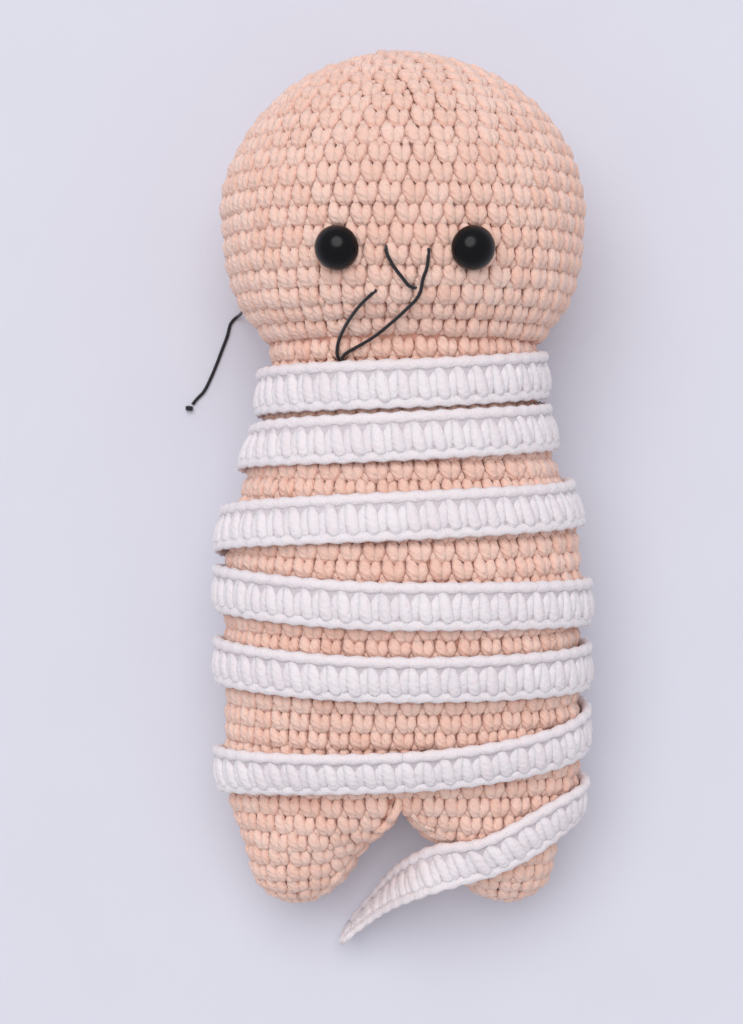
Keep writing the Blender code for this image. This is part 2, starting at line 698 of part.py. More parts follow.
def strip_ring(surface, heights, length, turn):
    """The strip's outline where it lies on a surface, square to the way the strip runs there."""
    step = 1 / STATIONS_PER_TURN
    y = length * smooth(heights, turn)
    before, after = max(turn - step, heights[0][0]), min(turn + step, heights[-1][0])
    rise = length * (smooth(heights, after) - smooth(heights, before))
    level = over_skin(surface, after, y, 0.0)[0] - over_skin(surface, before, y, 0.0)[0]
    slope = math.atan2(rise, level.length)
    turns_per_metre = (after - before) / level.length
    return [
        over_skin(
            surface,
            turn - STRIP_WIDTH * across * math.sin(slope) * turns_per_metre,
            y + STRIP_WIDTH * across * math.cos(slope),
            STRIP_CLEARANCE + STRIP_THICKNESS * up,
        )[0]
        for across, up in STRIP_SECTION_SHARES
    ]


def winding_ring(turn):
    return strip_ring(on_doll, WINDING_SHARES, DOLL_LENGTH, turn)


def winding_rings():
    start, end = WINDING_SHARES[0][0], WINDING_SHARES[-1][0]
    end -= STRIP_JOIN_GAP / (2 * math.pi * torso_section(CROTCH)[1])
    count = round((end - start) * STATIONS_PER_TURN)
    return [winding_ring(mixed(start, end, k / count)) for k in range(count + 1)]


def loose_end_rings():
    """The loose end: round the left leg's front, then down to stand on its edge on the table."""
    last = LOOSE_END_SHARES[-1][0]
    count = round(last * STATIONS_PER_TURN * 2)
    rings = [winding_ring(WINDING_SHARES[-1][0])]
    rings += [strip_ring(on_leg, LOOSE_END_SHARES, LEG_LENGTH, last * k / count) for k in range(1, count + 1)]
    y = LEG_LENGTH * LOOSE_END_SHARES[-1][1]
    middle, facing = over_skin(on_leg, last, y, STRIP_CLEARANCE + STRIP_THICKNESS / 2)
    controls = [(*middle, *facing)]
    for (wide, long, high), facing in zip(FREE_END_SHARES, FREE_END_FACINGS):
        controls.append((BODY_WIDTH / 2 * wide, LEG_LENGTH * long, BODY_DEPTH / 2 * high, *facing))
    stations = curve_through(controls, FREE_END_STATIONS)
    for k in range(1, len(stations)):
        station = stations[k]
        before, after = stations[k - 1], stations[min(k + 1, len(stations) - 1)]
        forward = (Vector(after[:3]) - Vector(before[:3])).normalized()
        facing = Vector(station[3:])
        facing = (facing - forward * facing.dot(forward)).normalized()
        across = forward.cross(facing)
        middle = Vector(station[:3])
        # The lower edge stays just above the table.
        reach = abs(across.z) * STRIP_WIDTH / 2 + abs(facing.z) * STRIP_THICKNESS / 2 + GAP
        middle.z = max(middle.z, reach)
        rings.append([
            middle + across * (STRIP_WIDTH * wide) + facing * (STRIP_THICKNESS * (thick - 0.5))
            for wide, thick in STRIP_SECTION_SHARES
        ])
    return rings


def least_gap(rings):
    """The least distance between turns of the winding, measured on points along its edges and faces."""
    points = []
    for ring, after in zip(rings, rings[1:]):
        for share in (0.0, 0.5):
            points.append([mixed(np.array(a), np.array(b), share) for a, b in zip(ring, after)])
    points = np.array(points)
    apart = STATIONS_PER_TURN
    least = np.inf
    for k in range(len(points) - apart):
        others = points[k + apart :].reshape(-1, 3)
        edges = np.vstack([mixed(points[k], np.roll(points[k], 1, axis=0), s) for s in (0.0, 0.5)])
        least = min(least, np.linalg.norm(edges[:, None] - others[None], axis=2).min())
    return least


def make_strip():
    rings = winding_rings()
    winding = add_object("bandage_winding", loft_mesh("bandage_winding", rings), WHITE, torso_body)
    cut(winding, table)
    add_object("bandage_loose_end", loft_mesh("bandage_loose_end", loose_end_rings()), WHITE, left_leg_body)
    middles = [sum(ring, Vector()) / len(ring) for ring in rings]
    length = sum((b - a).length for a, b in zip(middles, middles[1:]))
    print(f"strip: {length * 1000:.0f} mm in the winding")
    print(f"strip: least gap to itself {least_gap(rings) * 1000:.2f} mm")


# Thread

def thread(name, points):
    """A thread as a round curve with closed ends, on points a few diameters apart."""
    points = np.array(points)
    length = np.linalg.norm(np.diff(points, axis=0), axis=1).sum()
    route = curve_through(points, max(4, round(length / THREAD_STEP) + 1))
    curve = bpy.data.curves.new(name, "CURVE")
    curve.dimensions = "3D"
    curve.bevel_depth = THREAD_DIAMETER / 2
    curve.bevel_resolution = 2
    curve.use_fill_caps = True
    spline = curve.splines.new("POLY")
    spline.points.add(len(route) - 1)
    for point, place in zip(spline.points, route):
        point.co = (*place, 1.0)
    curve.materials.append(THREAD)
    obj = bpy.data.objects.new(name, curve)
    bpy.context.scene.collection.objects.link(obj)
    obj.parent = head_body
    obj.matrix_parent_inverse = head_body.matrix_world.inverted()
    print(f"{name}: {np.linalg.norm(np.diff(route, axis=0), axis=1).sum() * 1000:.1f} mm")


def make_threads():
    for name, route in (
        ("face_thread_upper", FACE_THREAD_UPPER),
        ("face_thread_lower_left", FACE_THREAD_LOWER_LEFT),
        ("face_thread_lower_right", FACE_THREAD_LOWER_RIGHT),
    ):
        points = []
        for x, y in route:
            place, facing = head_front(x, y)
            points.append(place + facing * (THREAD_DIAMETER / 2 + THREAD_LIFT))
        thread(name, points)
    thread("thread_tail", THREAD_TAIL_ROUTE)
    last, before = Vector(THREAD_TAIL_ROUTE[-1]), Vector(THREAD_TAIL_ROUTE[-2])
    onward = (last - before).normalized()
    radius = KNOT_DIAMETER / 2
    centre = last + onward * (radius + GAP)
    centre.z = radius
    profile = [
        (radius * math.sin(math.pi * k / KNOT_RINGS), -radius * math.cos(math.pi * k / KNOT_RINGS))
        for k in range(1, KNOT_RINGS)
    ]
    profile = [(0.0, -radius), *profile, (0.0, radius)]
    knot = turned_mesh("thread_knot", profile, KNOT_ROUND)
    add_object("thread_knot", knot, THREAD, head_body, Matrix.Translation(centre))


make_torso()
make_neck()
make_head()
make_eyes()
make_legs()
make_strip()
make_threads()

# The middle of the doll and its loose end comes to the origin.
bpy.context.view_layer.update()
ends = []
for name in ("head_skin", "bandage_loose_end"):
    obj = bpy.data.objects[name]
    ends += [(obj.matrix_world @ Vector(corner)).y for corner in obj.bound_box]
middle_y = (min(ends) + max(ends)) / 2
for obj in bpy.data.objects:
    if obj.parent is None:
        obj.matrix_world = Matrix.Translation((0.0, -middle_y, 0.0)) @ obj.matrix_world
print(f"moved by {-middle_y:.5f}, pivot {pivot}, hip {(HIP_Y, HIP_Z)}")
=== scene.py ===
# %% [markdown]
# A crocheted doll, half wrapped.
# The real thing is a stuffed body worked in spiral rounds of single crochet, with plastic safety eyes, and a
# long white crocheted strip that is being wound round it like a bandage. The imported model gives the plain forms
# and the joints. This lesson lays yarn over them, one small V for every stitch, and then lights the table.

import json
import math

import bmesh
import bpy
import numpy as np
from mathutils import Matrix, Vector


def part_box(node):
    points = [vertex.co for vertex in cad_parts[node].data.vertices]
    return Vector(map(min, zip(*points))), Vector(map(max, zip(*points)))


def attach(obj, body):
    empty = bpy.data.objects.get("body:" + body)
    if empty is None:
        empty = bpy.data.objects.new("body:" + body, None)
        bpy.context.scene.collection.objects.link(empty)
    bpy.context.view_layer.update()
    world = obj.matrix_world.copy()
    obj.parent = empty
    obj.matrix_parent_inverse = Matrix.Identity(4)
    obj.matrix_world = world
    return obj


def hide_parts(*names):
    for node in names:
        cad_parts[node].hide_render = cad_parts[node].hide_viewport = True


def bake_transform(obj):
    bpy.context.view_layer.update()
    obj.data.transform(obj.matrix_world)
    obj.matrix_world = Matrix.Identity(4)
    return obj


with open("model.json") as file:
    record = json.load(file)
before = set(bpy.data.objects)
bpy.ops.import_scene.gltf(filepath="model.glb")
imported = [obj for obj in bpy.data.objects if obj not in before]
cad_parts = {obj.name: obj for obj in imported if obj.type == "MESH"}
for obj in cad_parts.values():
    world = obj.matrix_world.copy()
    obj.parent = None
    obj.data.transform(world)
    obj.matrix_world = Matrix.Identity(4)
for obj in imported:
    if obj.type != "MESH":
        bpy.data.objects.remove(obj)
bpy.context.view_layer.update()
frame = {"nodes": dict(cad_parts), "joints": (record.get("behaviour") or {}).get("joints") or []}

# %% [markdown]
# The picture is taken straight down on the table, so the camera looks along minus Z, with the crown upwards.
# A long lens from 62 cm keeps the small swelling of the head and eyes that the real picture has.

# %% Camera
CAMERA_PLACE = (-0.0073, -0.00015, 0.620)
CAMERA_LENS = 88.0


def add_piece(name, data, *materials):
    """An object in the scene that holds some data, with its materials."""
    piece = bpy.data.objects.new(name, data)
    bpy.context.scene.collection.objects.link(piece)
    for material in materials:
        data.materials.append(material)
    return piece


camera_data = bpy.data.cameras.new("camera")
camera_data.lens = CAMERA_LENS
camera_data.clip_start = 0.01
camera = add_piece("camera", camera_data)
camera.location = CAMERA_PLACE
bpy.context.scene.camera = camera
print("camera looks down from", CAMERA_PLACE)

# %% [markdown]
# Everything below is laid out in the doll's own measure: y is 0 at the feet and runs up to the crown.
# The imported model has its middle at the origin, so one shift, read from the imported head, joins the two.

# %% The doll's own lengths
LEG_LENGTH = 0.027
TORSO_LENGTH = 0.101
HEAD_LENGTH = 0.072
HEAD_WIDTH = 0.0842
HEAD_DEPTH = 0.0760
NECK_WIDTH = 0.0620
NECK_DEPTH = 0.0540
BODY_WIDTH = 0.0828
BODY_DEPTH = 0.0590
FOOT_ROUND = 0.0075
HALF_SPLIT = 0.0003
TORSO_LIFT = 0.0030
REST_CUT = 0.0005
CROTCH = LEG_LENGTH
NECK = CROTCH + TORSO_LENGTH
CROWN = NECK + HEAD_LENGTH
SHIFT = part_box("head_skin")[1][1] - CROWN


def to_world(points):
    """Points in the doll's measure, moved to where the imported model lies."""
    return np.asarray(points, float) + (0.0, SHIFT, 0.0)


print(f"feet at y {SHIFT:.5f}")

# %% [markdown]
# A cord's shape is a list of given points, joined by a smooth curve. The black embroidery thread leaves
# the side of the head, drops to the table and ends in a small knot.

# %% A smooth curve through chosen points
CURVE_STEPS = 24


def walked(points, axis=0):
    """How far each point is from the first, along a line of points."""
    steps = np.linalg.norm(np.diff(points, axis=axis), axis=-1)
    return np.concatenate([np.zeros_like(steps.take([0], axis)), np.cumsum(steps, axis)], axis)


def unit(vectors):
    """The same vectors, made one long."""
    return vectors / np.maximum(np.linalg.norm(vectors, axis=-1, keepdims=True), 1e-15)


def directions(points):
    """Which way a line of points runs at each of them."""
    return unit(np.gradient(points, axis=0))


def columns_at(wanted, known, columns):
    """Each column of a table, read between its rows."""
    return np.column_stack([np.interp(wanted, known, column) for column in columns.T])


def curve_through(points, count):
    """Evenly spaced points on a smooth curve through a few chosen ones."""
    points = np.array(points, float)
    padded = np.vstack([2 * points[0] - points[1], points, 2 * points[-1] - points[-2]])
    fine = []
    for a, b, c, d in zip(padded, padded[1:], padded[2:], padded[3:]):
        for t in np.linspace(0, 1, CURVE_STEPS, endpoint=False):
            straight = 2 * b + (c - a) * t
            bend = (2 * a - 5 * b + 4 * c - d) * t**2 + (3 * b - a - 3 * c + d) * t**3
            fine.append((straight + bend) / 2)
    fine = np.array([*fine, points[-1]])
    run = walked(fine[:, :3])
    return columns_at(np.linspace(0, run[-1], count), run, fine)


corner = curve_through(((0, 0, 0), (1, 0, 0), (1, 1, 0)), 5)
print("a curve round a corner, in five points:", corner[:, :2].round(2).tolist())

# %% [markdown]
# Nearly every form here is a closed tube of rings: threads, yarn, the inside of the fabric, the strip and the eyes.
# One helper joins rings of points into a mesh. Its UV map has u round the tube and v along it, so that a pattern
# can follow the yarn.

# %% From rings of points to a mesh
def even_turns(count):
    """Angles that cut a circle into equal parts."""
    return np.linspace(0, 2 * math.pi, count, endpoint=False)


def ring_at(point, side, other, sides):
    """A ring of points round a middle, with two radii as vectors."""
    turns = even_turns(sides)[:, None]
    return point + side * np.cos(turns) + other * np.sin(turns)


def ring_mesh(name, tubes, tips=(None, None), shade=None, flat_ends=False):
    """Closed tubes as one mesh. Each is its rings and what v is on each ring, or None. Ends may run to a tip."""
    shape = bmesh.new()
    uv = shape.loops.layers.uv.new("UVMap")
    for rings, along in tubes:
        rows = [[shape.verts.new(point) for point in ring] for ring in rings]
        sides = len(rows[0])
        pairs = [(i, (i + 1) % sides) for i in range(sides)]
        for k, (low, high) in enumerate(zip(rows, rows[1:])):
            for i, j in pairs:
                face = shape.faces.new((low[i], low[j], high[j], high[i]))
                if along is not None:
                    for loop, u, v in zip(face.loops, (i, i + 1, i + 1, i), (k, k, k + 1, k + 1)):
                        loop[uv].uv = (u / sides, along[v])
        for row, tip in zip((rows[0], rows[-1]), tips):
            if tip is None:
                shape.faces.new(row)
            else:
                top = shape.verts.new(tip)
                for i, j in pairs:
                    shape.faces.new((row[i], row[j], top))
    bmesh.ops.recalc_face_normals(shape, faces=shape.faces)
    for face in shape.faces:
        face.smooth = len(face.verts) <= 4 or not flat_ends
    mesh = bpy.data.meshes.new(name)
    shape.to_mesh(mesh)
    shape.free()
    if shade is not None:
        mesh.attributes.new("shade", "FLOAT", "POINT").data.foreach_set("value", [shade] * len(mesh.vertices))
    return mesh


print("a ring of four points:", ring_at(np.zeros(2), np.array((1, 0)), np.array((0, 1)), 4).round(1).tolist())

# %% Thread tubes
THREAD_DIAMETER = 0.0008
THREAD_SIDES = 10
THREAD_STEP = 0.0012
FIRST_SIDE_FROM = (0.0, 0.3, 1.0)


def thread_tube(name, points, radius):
    """A round thread along points. Its v counts thicknesses, so the twist of the plies has one scale on all."""
    ways = directions(points)
    side = np.cross(ways[0], FIRST_SIDE_FROM)
    rings = []
    for point, way in zip(points, ways):
        side = unit(side - way * (side @ way))
        rings.append(ring_at(point, radius * side, radius * np.cross(way, side), THREAD_SIDES))
    return ring_mesh(name, [(rings, walked(points) / (2 * radius))], flat_ends=True)


def thread_mesh(name, route):
    """A thread along a route, and the points that it follows."""
    points = curve_through(route, max(4, round(walked(route)[-1] / THREAD_STEP)))
    return thread_tube(name, points, THREAD_DIAMETER / 2), points


print(f"thread: {THREAD_DIAMETER * 1000:.1f} mm thick, {THREAD_SIDES} sides, a ring every {THREAD_STEP * 1000:.1f} mm")

# %% [markdown]
# Every finish below is one Principled shader with procedural nodes. One helper adds a node and gives each input a
# value or a socket to join. The others make what most finishes need: noise, a tint and a bump. Colours are written
# as they look on a screen and turned into light here.

# %% Nodes
def feed(socket, value):
    """Joins an input to another socket, or sets it to a value."""
    if isinstance(value, bpy.types.NodeSocket):
        socket.id_data.links.new(value, socket)
    else:
        socket.default_value = value


def set_up(node, **values):
    """Names in small letters are the node's own settings. The others are its inputs, with _ for a space."""
    for key, value in values.items():
        if key.islower():
            setattr(node, key, value)
        else:
            feed(next(s for s in node.inputs if s.enabled and s.name == key.replace("_", " ")), value)
    return node


def add_node(tree, kind, **values):
    """A new node in a tree, set up."""
    return set_up(tree.nodes.new(kind), **values)


def calculated(tree, operation, *values):
    """One step of arithmetic with sockets or numbers."""
    node = add_node(tree, "ShaderNodeMath", operation=operation)
    for socket, value in zip(node.inputs, values):
        feed(socket, value)
    return node.outputs[0]


def linear(*srgb):
    """A colour read from a picture, 0 to 255, as the light that a shader works with, fully covering."""
    return (*[(c / 255 / 12.92) if c <= 10 else ((c / 255 + 0.055) / 1.055) ** 2.4 for c in srgb], 1.0)


print(f"a screen value of 128 is {linear(128)[0]:.3f} of full light")

# %% What the finishes are made of
def new_material(name, colour, **values):
    """A material with a screen colour, and its shader with some inputs set."""
    material = bpy.data.materials.new(name)
    material.use_nodes = True
    material.diffuse_color = linear(*colour)
    shader = material.node_tree.nodes["Principled BSDF"]
    return material, set_up(shader, Base_Color=linear(*colour), **values)


def noise(shader, scale, detail=2.0):
    """Noise on Object coordinates, 0 to 1."""
    tree = shader.id_data
    spot = add_node(tree, "ShaderNodeTexCoord").outputs["Object"]
    return add_node(tree, "ShaderNodeTexNoise", Vector=spot, Scale=scale, Detail=detail).outputs["Fac"]


def plies(shader, scale, distortion):
    """A wave that runs slanting over the UV map, as twisted plies do, 0 to 1."""
    tree = shader.id_data
    place = add_node(tree, "ShaderNodeUVMap", uv_map="UVMap").outputs["UV"]
    turned = add_node(tree, "ShaderNodeMapping", Vector=place, Scale=scale).outputs["Vector"]
    return add_node(
        tree, "ShaderNodeTexWave", bands_direction="DIAGONAL", Vector=turned, Scale=1.0, Distortion=distortion,
        Detail=1.0,
    ).outputs["Fac"]


def tint(shader, value, dark, light, start=0.0, end=1.0):
    """Colours the shader from dark to light as a value goes from start to end."""
    ramp = add_node(shader.id_data, "ShaderNodeValToRGB", Fac=value)
    for stop, colour, position in zip(ramp.color_ramp.elements, (dark, light), (start, end)):
        stop.color, stop.position = linear(*colour), position
    feed(shader.inputs["Base Color"], ramp.outputs["Color"])


def add_bump(shader, height, strength, distance):
    """One more bump on the shader, on top of those that it has."""
    bump = add_node(shader.id_data, "ShaderNodeBump", Height=height, Strength=strength, Distance=distance)
    normal = shader.inputs["Normal"]
    if normal.is_linked:
        feed(bump.inputs["Normal"], normal.links[0].from_socket)
    feed(normal, bump.outputs["Normal"])


print("finishes are made of", ", ".join(part.__name__ for part in (noise, plies, tint, add_bump)))

# %% [markdown]
# Embroidery thread is two or three plies twisted together. The tube's UV map runs round and along it, so a wave
# across both draws the slanting plies and lifts them as bump. The same wave paints the grooves between the plies
# darker and their crests lighter, as painted shade.

# %% Black thread
BLACK_THREAD, shader = new_material(
    "black_thread", (22, 19, 25), Roughness=0.7, Sheen_Weight=0.25, Sheen_Roughness=0.4
)
twist = plies(shader, scale=(2.0, 0.8, 1.0), distortion=0.4)
# The ply wave paints the grooves darker and the crests lighter: painted shade that follows the bump
tint(shader, twist, (12, 10, 14), (36, 31, 39))
add_bump(shader, twist, strength=0.8, distance=0.00012)
print(BLACK_THREAD.name, "has", len(BLACK_THREAD.node_tree.nodes), "nodes")

# %% The thread's tail and its knot
TAIL_ROUTE = (
    (-0.0342, 0.1425, 0.0188), (-0.0356, 0.1426, 0.0176), (-0.0372, 0.1428, 0.0150),
    (-0.0384, 0.1427, 0.0110), (-0.0391, 0.1425, 0.0070), (-0.0396, 0.1424, 0.0035),
    (-0.0402, 0.1421, 0.0014), (-0.0413, 0.1414, 0.0006), (-0.0423, 0.1400, 0.0005),
    (-0.0430, 0.1372, 0.0005), (-0.0443, 0.1338, 0.0005), (-0.0455, 0.1306, 0.0005),
    (-0.0470, 0.1270, 0.0005), (-0.0487, 0.1236, 0.0005), (-0.0505, 0.1217, 0.0005),
    (-0.0516, 0.1203, 0.0005),
)
KNOT_RADIUS = THREAD_DIAMETER * 0.45
KNOT_TURNS = 2.5
KNOT_POINTS = 40


def knot_points():
    """A small overhand ball: the thread goes round in a coil that drifts sideways."""
    low, high = (np.array(corner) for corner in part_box("thread_knot"))
    reach = (high - low)[2] / 2 - KNOT_RADIUS
    share = np.linspace(0, 1, KNOT_POINTS)
    turn = 2 * math.pi * KNOT_TURNS * share
    return (low + high) / 2 + reach * np.column_stack([np.cos(turn), share - 0.5, np.sin(turn)])


def fasten(piece, body, node):
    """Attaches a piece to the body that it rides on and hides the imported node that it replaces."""
    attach(piece, body)
    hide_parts(node)


tail_mesh, tail_points = thread_mesh("tail", to_world(TAIL_ROUTE))
tail = add_piece("tail", tail_mesh, BLACK_THREAD)
knot = add_piece("knot", thread_tube("knot", knot_points(), KNOT_RADIUS), BLACK_THREAD)
fasten(tail, "head", "thread_tail")
fasten(knot, "head", "thread_knot")
print(f"tail: {walked(tail_points)[-1] * 1000:.1f} mm")

# %% [markdown]
# The body's form is a stack of ovals. Each table gives, at a share of the way along, how wide, deep or high the
# oval is there. A curve that never swings past its points joins them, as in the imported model.

# %% Curves through tables
HIP_WIDTH_SHARES = ((-0.16, 0.85), (-0.12, 0.90), (-0.07, 0.944), (0.0, 0.985), (0.09, 1.0), (1.0, 1.0))
HIP_DEPTH_SHARES = (
    (-0.16, 0.44), (-0.12, 0.50), (-0.07, 0.56), (0.0, 0.61), (0.09, 0.72), (0.18, 0.82),
    (0.38, 0.97), (0.52, 1.0), (1.0, 1.0),
)
NECKING_SHARES = (
    (0.52, 0.0), (0.60, 0.05), (0.68, 0.26), (0.77, 0.55), (0.85, 0.82), (0.92, 0.95), (1.0, 1.0),
)
BACK_HEIGHT_SHARES = (
    (-0.16, 0.62), (-0.12, 0.66), (-0.07, 0.71), (0.0, 0.78), (0.09, 0.85), (0.18, 0.90),
    (0.38, 0.97), (0.52, 1.0), (0.68, 1.005), (0.77, 1.02), (0.85, 1.04), (1.0, 1.07),
)
HEAD_WIDEST_SHARE = 0.483
CHEEK_SHARES = (
    (0.0, 0.0), (0.10, 0.04), (0.23, 0.30), (0.365, 0.62), (0.50, 0.78), (0.70, 0.935), (1.0, 1.0),
)
# A share of the leg's length, then the oval's middle and radius sideways in quarters of the body's width,
# and its radius and middle upwards in halves of the body's depth
LEG_SHARES = np.array((
    (0.0, 1.20, 0.44, 0.30, 0.50), (0.11, 1.19, 0.49, 0.33, 0.53), (0.30, 1.145, 0.59, 0.40, 0.58),
    (0.555, 1.087, 0.72, 0.48, 0.66), (0.74, 1.043, 0.84, 0.54, 0.71), (1.0, 0.993, 0.975, 0.61, 0.78),
))
LEG_ROUND_FROM_SHARE = 0.45


def smooth(table, place):
    """The values at places on a smooth curve through a table, which never swings past its points."""
    xs, ys = np.array(table, float).T
    slopes = np.diff(ys) / np.diff(xs)
    tangents = np.zeros_like(ys)
    product = slopes[:-1] * slopes[1:]
    total = np.where(product > 0, slopes[:-1] + slopes[1:], 1.0)
    tangents[1:-1] = np.where(product > 0, 2 * product / total, 0.0)
    tangents[0], tangents[-1] = slopes[0], slopes[-1]
    place = np.clip(place, xs[0], xs[-1])
    i = np.clip(np.searchsorted(xs, place, side="right") - 1, 0, len(xs) - 2)
    width = xs[i + 1] - xs[i]
    t = (place - xs[i]) / width
    return (
        (2 * t**3 - 3 * t**2 + 1) * ys[i]
        + (t**3 - 2 * t**2 + t) * width * tangents[i]
        + (3 * t**2 - 2 * t**3) * ys[i + 1]
        + (t**3 - t**2) * width * tangents[i + 1]
    )


def mixed(start, end, share):
    return start + (end - start) * share


print(f"hips halfway up: {BODY_WIDTH * 1000 * smooth(HIP_WIDTH_SHARES, 0.5):.1f} mm wide")

# %% [markdown]
# Torso and head are stacks of ovals along y. A function gives the oval at any place, and one more puts points on
# it. Everything that lies on the doll, from stitches to strip and threads, is placed by these few functions.

# %% The doll's ovals
HEAD_WIDEST = NECK + HEAD_LENGTH * HEAD_WIDEST_SHARE
HEAD_TOP = CROWN - HEAD_WIDEST
HEAD_HEIGHT = HEAD_DEPTH / 2 - REST_CUT


def torso_section(y):
    place = (y - CROTCH) / TORSO_LENGTH
    necking = smooth(NECKING_SHARES, place)
    half_width = mixed(BODY_WIDTH / 2 * smooth(HIP_WIDTH_SHARES, place), NECK_WIDTH / 2, necking)
    half_depth = mixed(BODY_DEPTH / 2 * smooth(HIP_DEPTH_SHARES, place), NECK_DEPTH / 2, necking)
    height = TORSO_LIFT + BODY_DEPTH / 2 * smooth(BACK_HEIGHT_SHARES, place)
    return half_width, half_depth, height


NECK_HEIGHT = torso_section(NECK)[2]


def head_section(y):
    rise = np.clip((y - HEAD_WIDEST) / HEAD_TOP, 0.0, 1.0)
    dome = np.sqrt(1 - rise**2)
    fullness = smooth(CHEEK_SHARES, (y - NECK) / (HEAD_WIDEST - NECK))
    half_width = mixed(NECK_WIDTH / 2, HEAD_WIDTH / 2, fullness) * dome
    half_depth = mixed(NECK_DEPTH / 2, HEAD_DEPTH / 2, fullness) * dome
    return half_width, half_depth, mixed(NECK_HEIGHT, HEAD_HEIGHT, fullness)


def on_oval(section, angle, y):
    """Points at angles round an oval. Angle 0 is the doll's left, a quarter turn is its front."""
    half_width, half_depth, height = section
    x, y, z = np.broadcast_arrays(half_width * np.cos(angle), y, height + half_depth * np.sin(angle))
    return np.stack([x, y, z], axis=-1)


def torso(angle, y):
    return on_oval(torso_section(y), angle, y)


def skin(angle, y):
    """Torso below the neck, head above it."""
    low, high = torso_section(y), head_section(y)
    return on_oval([np.where(y < NECK, a, b) for a, b in zip(low, high)], angle, y)


print(f"neck: {NECK_WIDTH * 1000:.0f} x {NECK_DEPTH * 1000:.0f} mm, its middle {NECK_HEIGHT * 1000:.1f} mm up")

# %% [markdown]
# The legs are two short stubs in one piece with the body. Above the crotch a leg's outline is half of the
# torso's, cut at the middle. Below it, that half turns smoothly into a round stub which ends in a dome.

# %% The legs, which part at the crotch
def left_leg(angle, y):
    """Points on the left leg. Above the crotch it is half of the torso, below it turns round."""
    wide, deep, middle_height = torso_section(y)
    middle = (wide + HALF_SPLIT) / 2
    along, up = np.cos(angle), np.sin(angle)
    square = (along / wide) ** 2 + (up / deep) ** 2
    slope = middle * along / wide**2
    reach = (-slope + np.sqrt(slope**2 - square * ((middle / wide) ** 2 - 1))) / square
    inner = (middle - HALF_SPLIT) / np.maximum(-along, 1e-9)
    reach = np.where(along < 0, np.minimum(reach, inner), reach)
    place = y / LEG_LENGTH
    centre, width, depth, rise = (smooth(LEG_SHARES[:, (0, column)], place) for column in range(1, 5))
    rounding = np.sqrt(1 - np.clip((FOOT_ROUND - y) / FOOT_ROUND, 0.0, 1.0) ** 2)
    turned = np.clip((1 - place) / (1 - LEG_ROUND_FROM_SHARE), 0.0, 1.0)
    turned = turned**2 * (3 - 2 * turned)
    x = mixed(middle + reach * along, BODY_WIDTH / 4 * (centre + width * rounding * along), turned)
    z = mixed(middle_height + reach * up, TORSO_LIFT + BODY_DEPTH / 2 * (rise + depth * rounding * up), turned)
    x, y, z = np.broadcast_arrays(x, y, z)
    return np.stack([x, y, z], axis=-1)


def right_leg(angle, y):
    """The left leg seen in a mirror, still turned round the same way."""
    return left_leg(math.pi - angle, y) * (-1.0, 1.0, 1.0)


foot = left_leg(np.array([0.0, math.pi]), np.array(FOOT_ROUND))
print(f"foot: {(foot[0, 0] - foot[1, 0]) * 1000:.1f} mm wide where its dome starts")

# %% [markdown]
# On the real head the rounds are not level. The crown of the spiral sits a little behind the top, so every
# round rises towards the face. The head is walked like a globe whose pole is tipped back, less and less
# towards the neck, while its outer form stays the same.

# %% The head as a tipped globe
HEAD_TIP = math.radians(6.0)
NECK_LATITUDE = -(HEAD_WIDEST - NECK) / HEAD_TOP
FRAME_STEP = 0.0001


def head(angle, latitude):
    """Points on the head at a longitude and at a latitude counted from its widest round."""
    share = np.clip((latitude - NECK_LATITUDE) / -NECK_LATITUDE, 0.0, 1.0)
    tip = HEAD_TIP * share**2 * (3 - 2 * share)
    x = np.cos(latitude) * np.cos(angle)
    y = np.sin(latitude) * np.cos(tip) + np.cos(latitude) * np.sin(angle) * np.sin(tip)
    z = -np.sin(latitude) * np.sin(tip) + np.cos(latitude) * np.sin(angle) * np.cos(tip)
    latitude = np.arcsin(np.clip(y, -1.0, 1.0))
    angle = np.arctan2(z, x)
    along = np.where(latitude > 0, HEAD_TOP * np.sin(latitude), HEAD_TOP * latitude)
    return on_oval(head_section(HEAD_WIDEST + along), angle, HEAD_WIDEST + along)


def frames(surface, angle, place):
    """Points on a surface, which way it faces there, and which way a stitch runs from left to right."""
    point = surface(angle, place)
    turn = FRAME_STEP / BODY_DEPTH
    across = surface(angle - turn, place) - surface(angle + turn, place)
    rise = FRAME_STEP / (HEAD_TOP if surface is head else 1.0)
    up = surface(angle, place + rise) - surface(angle, place - rise)
    return point, unit(np.cross(across, up)), unit(across)


print(f"crown of the spiral {head(0.0, math.pi / 2)[2] * 1000:.1f} mm up, head's middle {HEAD_HEIGHT * 1000:.1f} mm up")

# %% [markdown]
# A round of crochet is a ring of equal stitches. The meridian is cut into equal rows first, and each row is then
# cut into whole stitches of equal width, as a maker's pattern does it. Every row starts a little further on
# than the one below, which gives the columns their slant.

# %% Rounds of stitches
STITCH_WIDTH = 0.0053
ROW_HEIGHT = 0.0045
ROW_OVERLAP = 1.03
TALLEST_STITCH = 1.3
COUNT_STEP = 6
MERIDIAN_POINTS = 200
RING_STEP = 0.0004
ROUND_POINTS = 240


def row_edges(surface, angles, start, end):
    """Where the rows part at each angle, so that every way up the surface is cut into equal rows."""
    places = np.linspace(start, end, MERIDIAN_POINTS)
    walks = walked(surface(angles[:, None], places[None, :]), axis=1)
    count = max(1, round(walks[:, -1].mean() / ROW_HEIGHT))
    shares = np.linspace(0, 1, count + 1)
    return np.array([np.interp(shares * walk[-1], walk, places) for walk in walks]).T


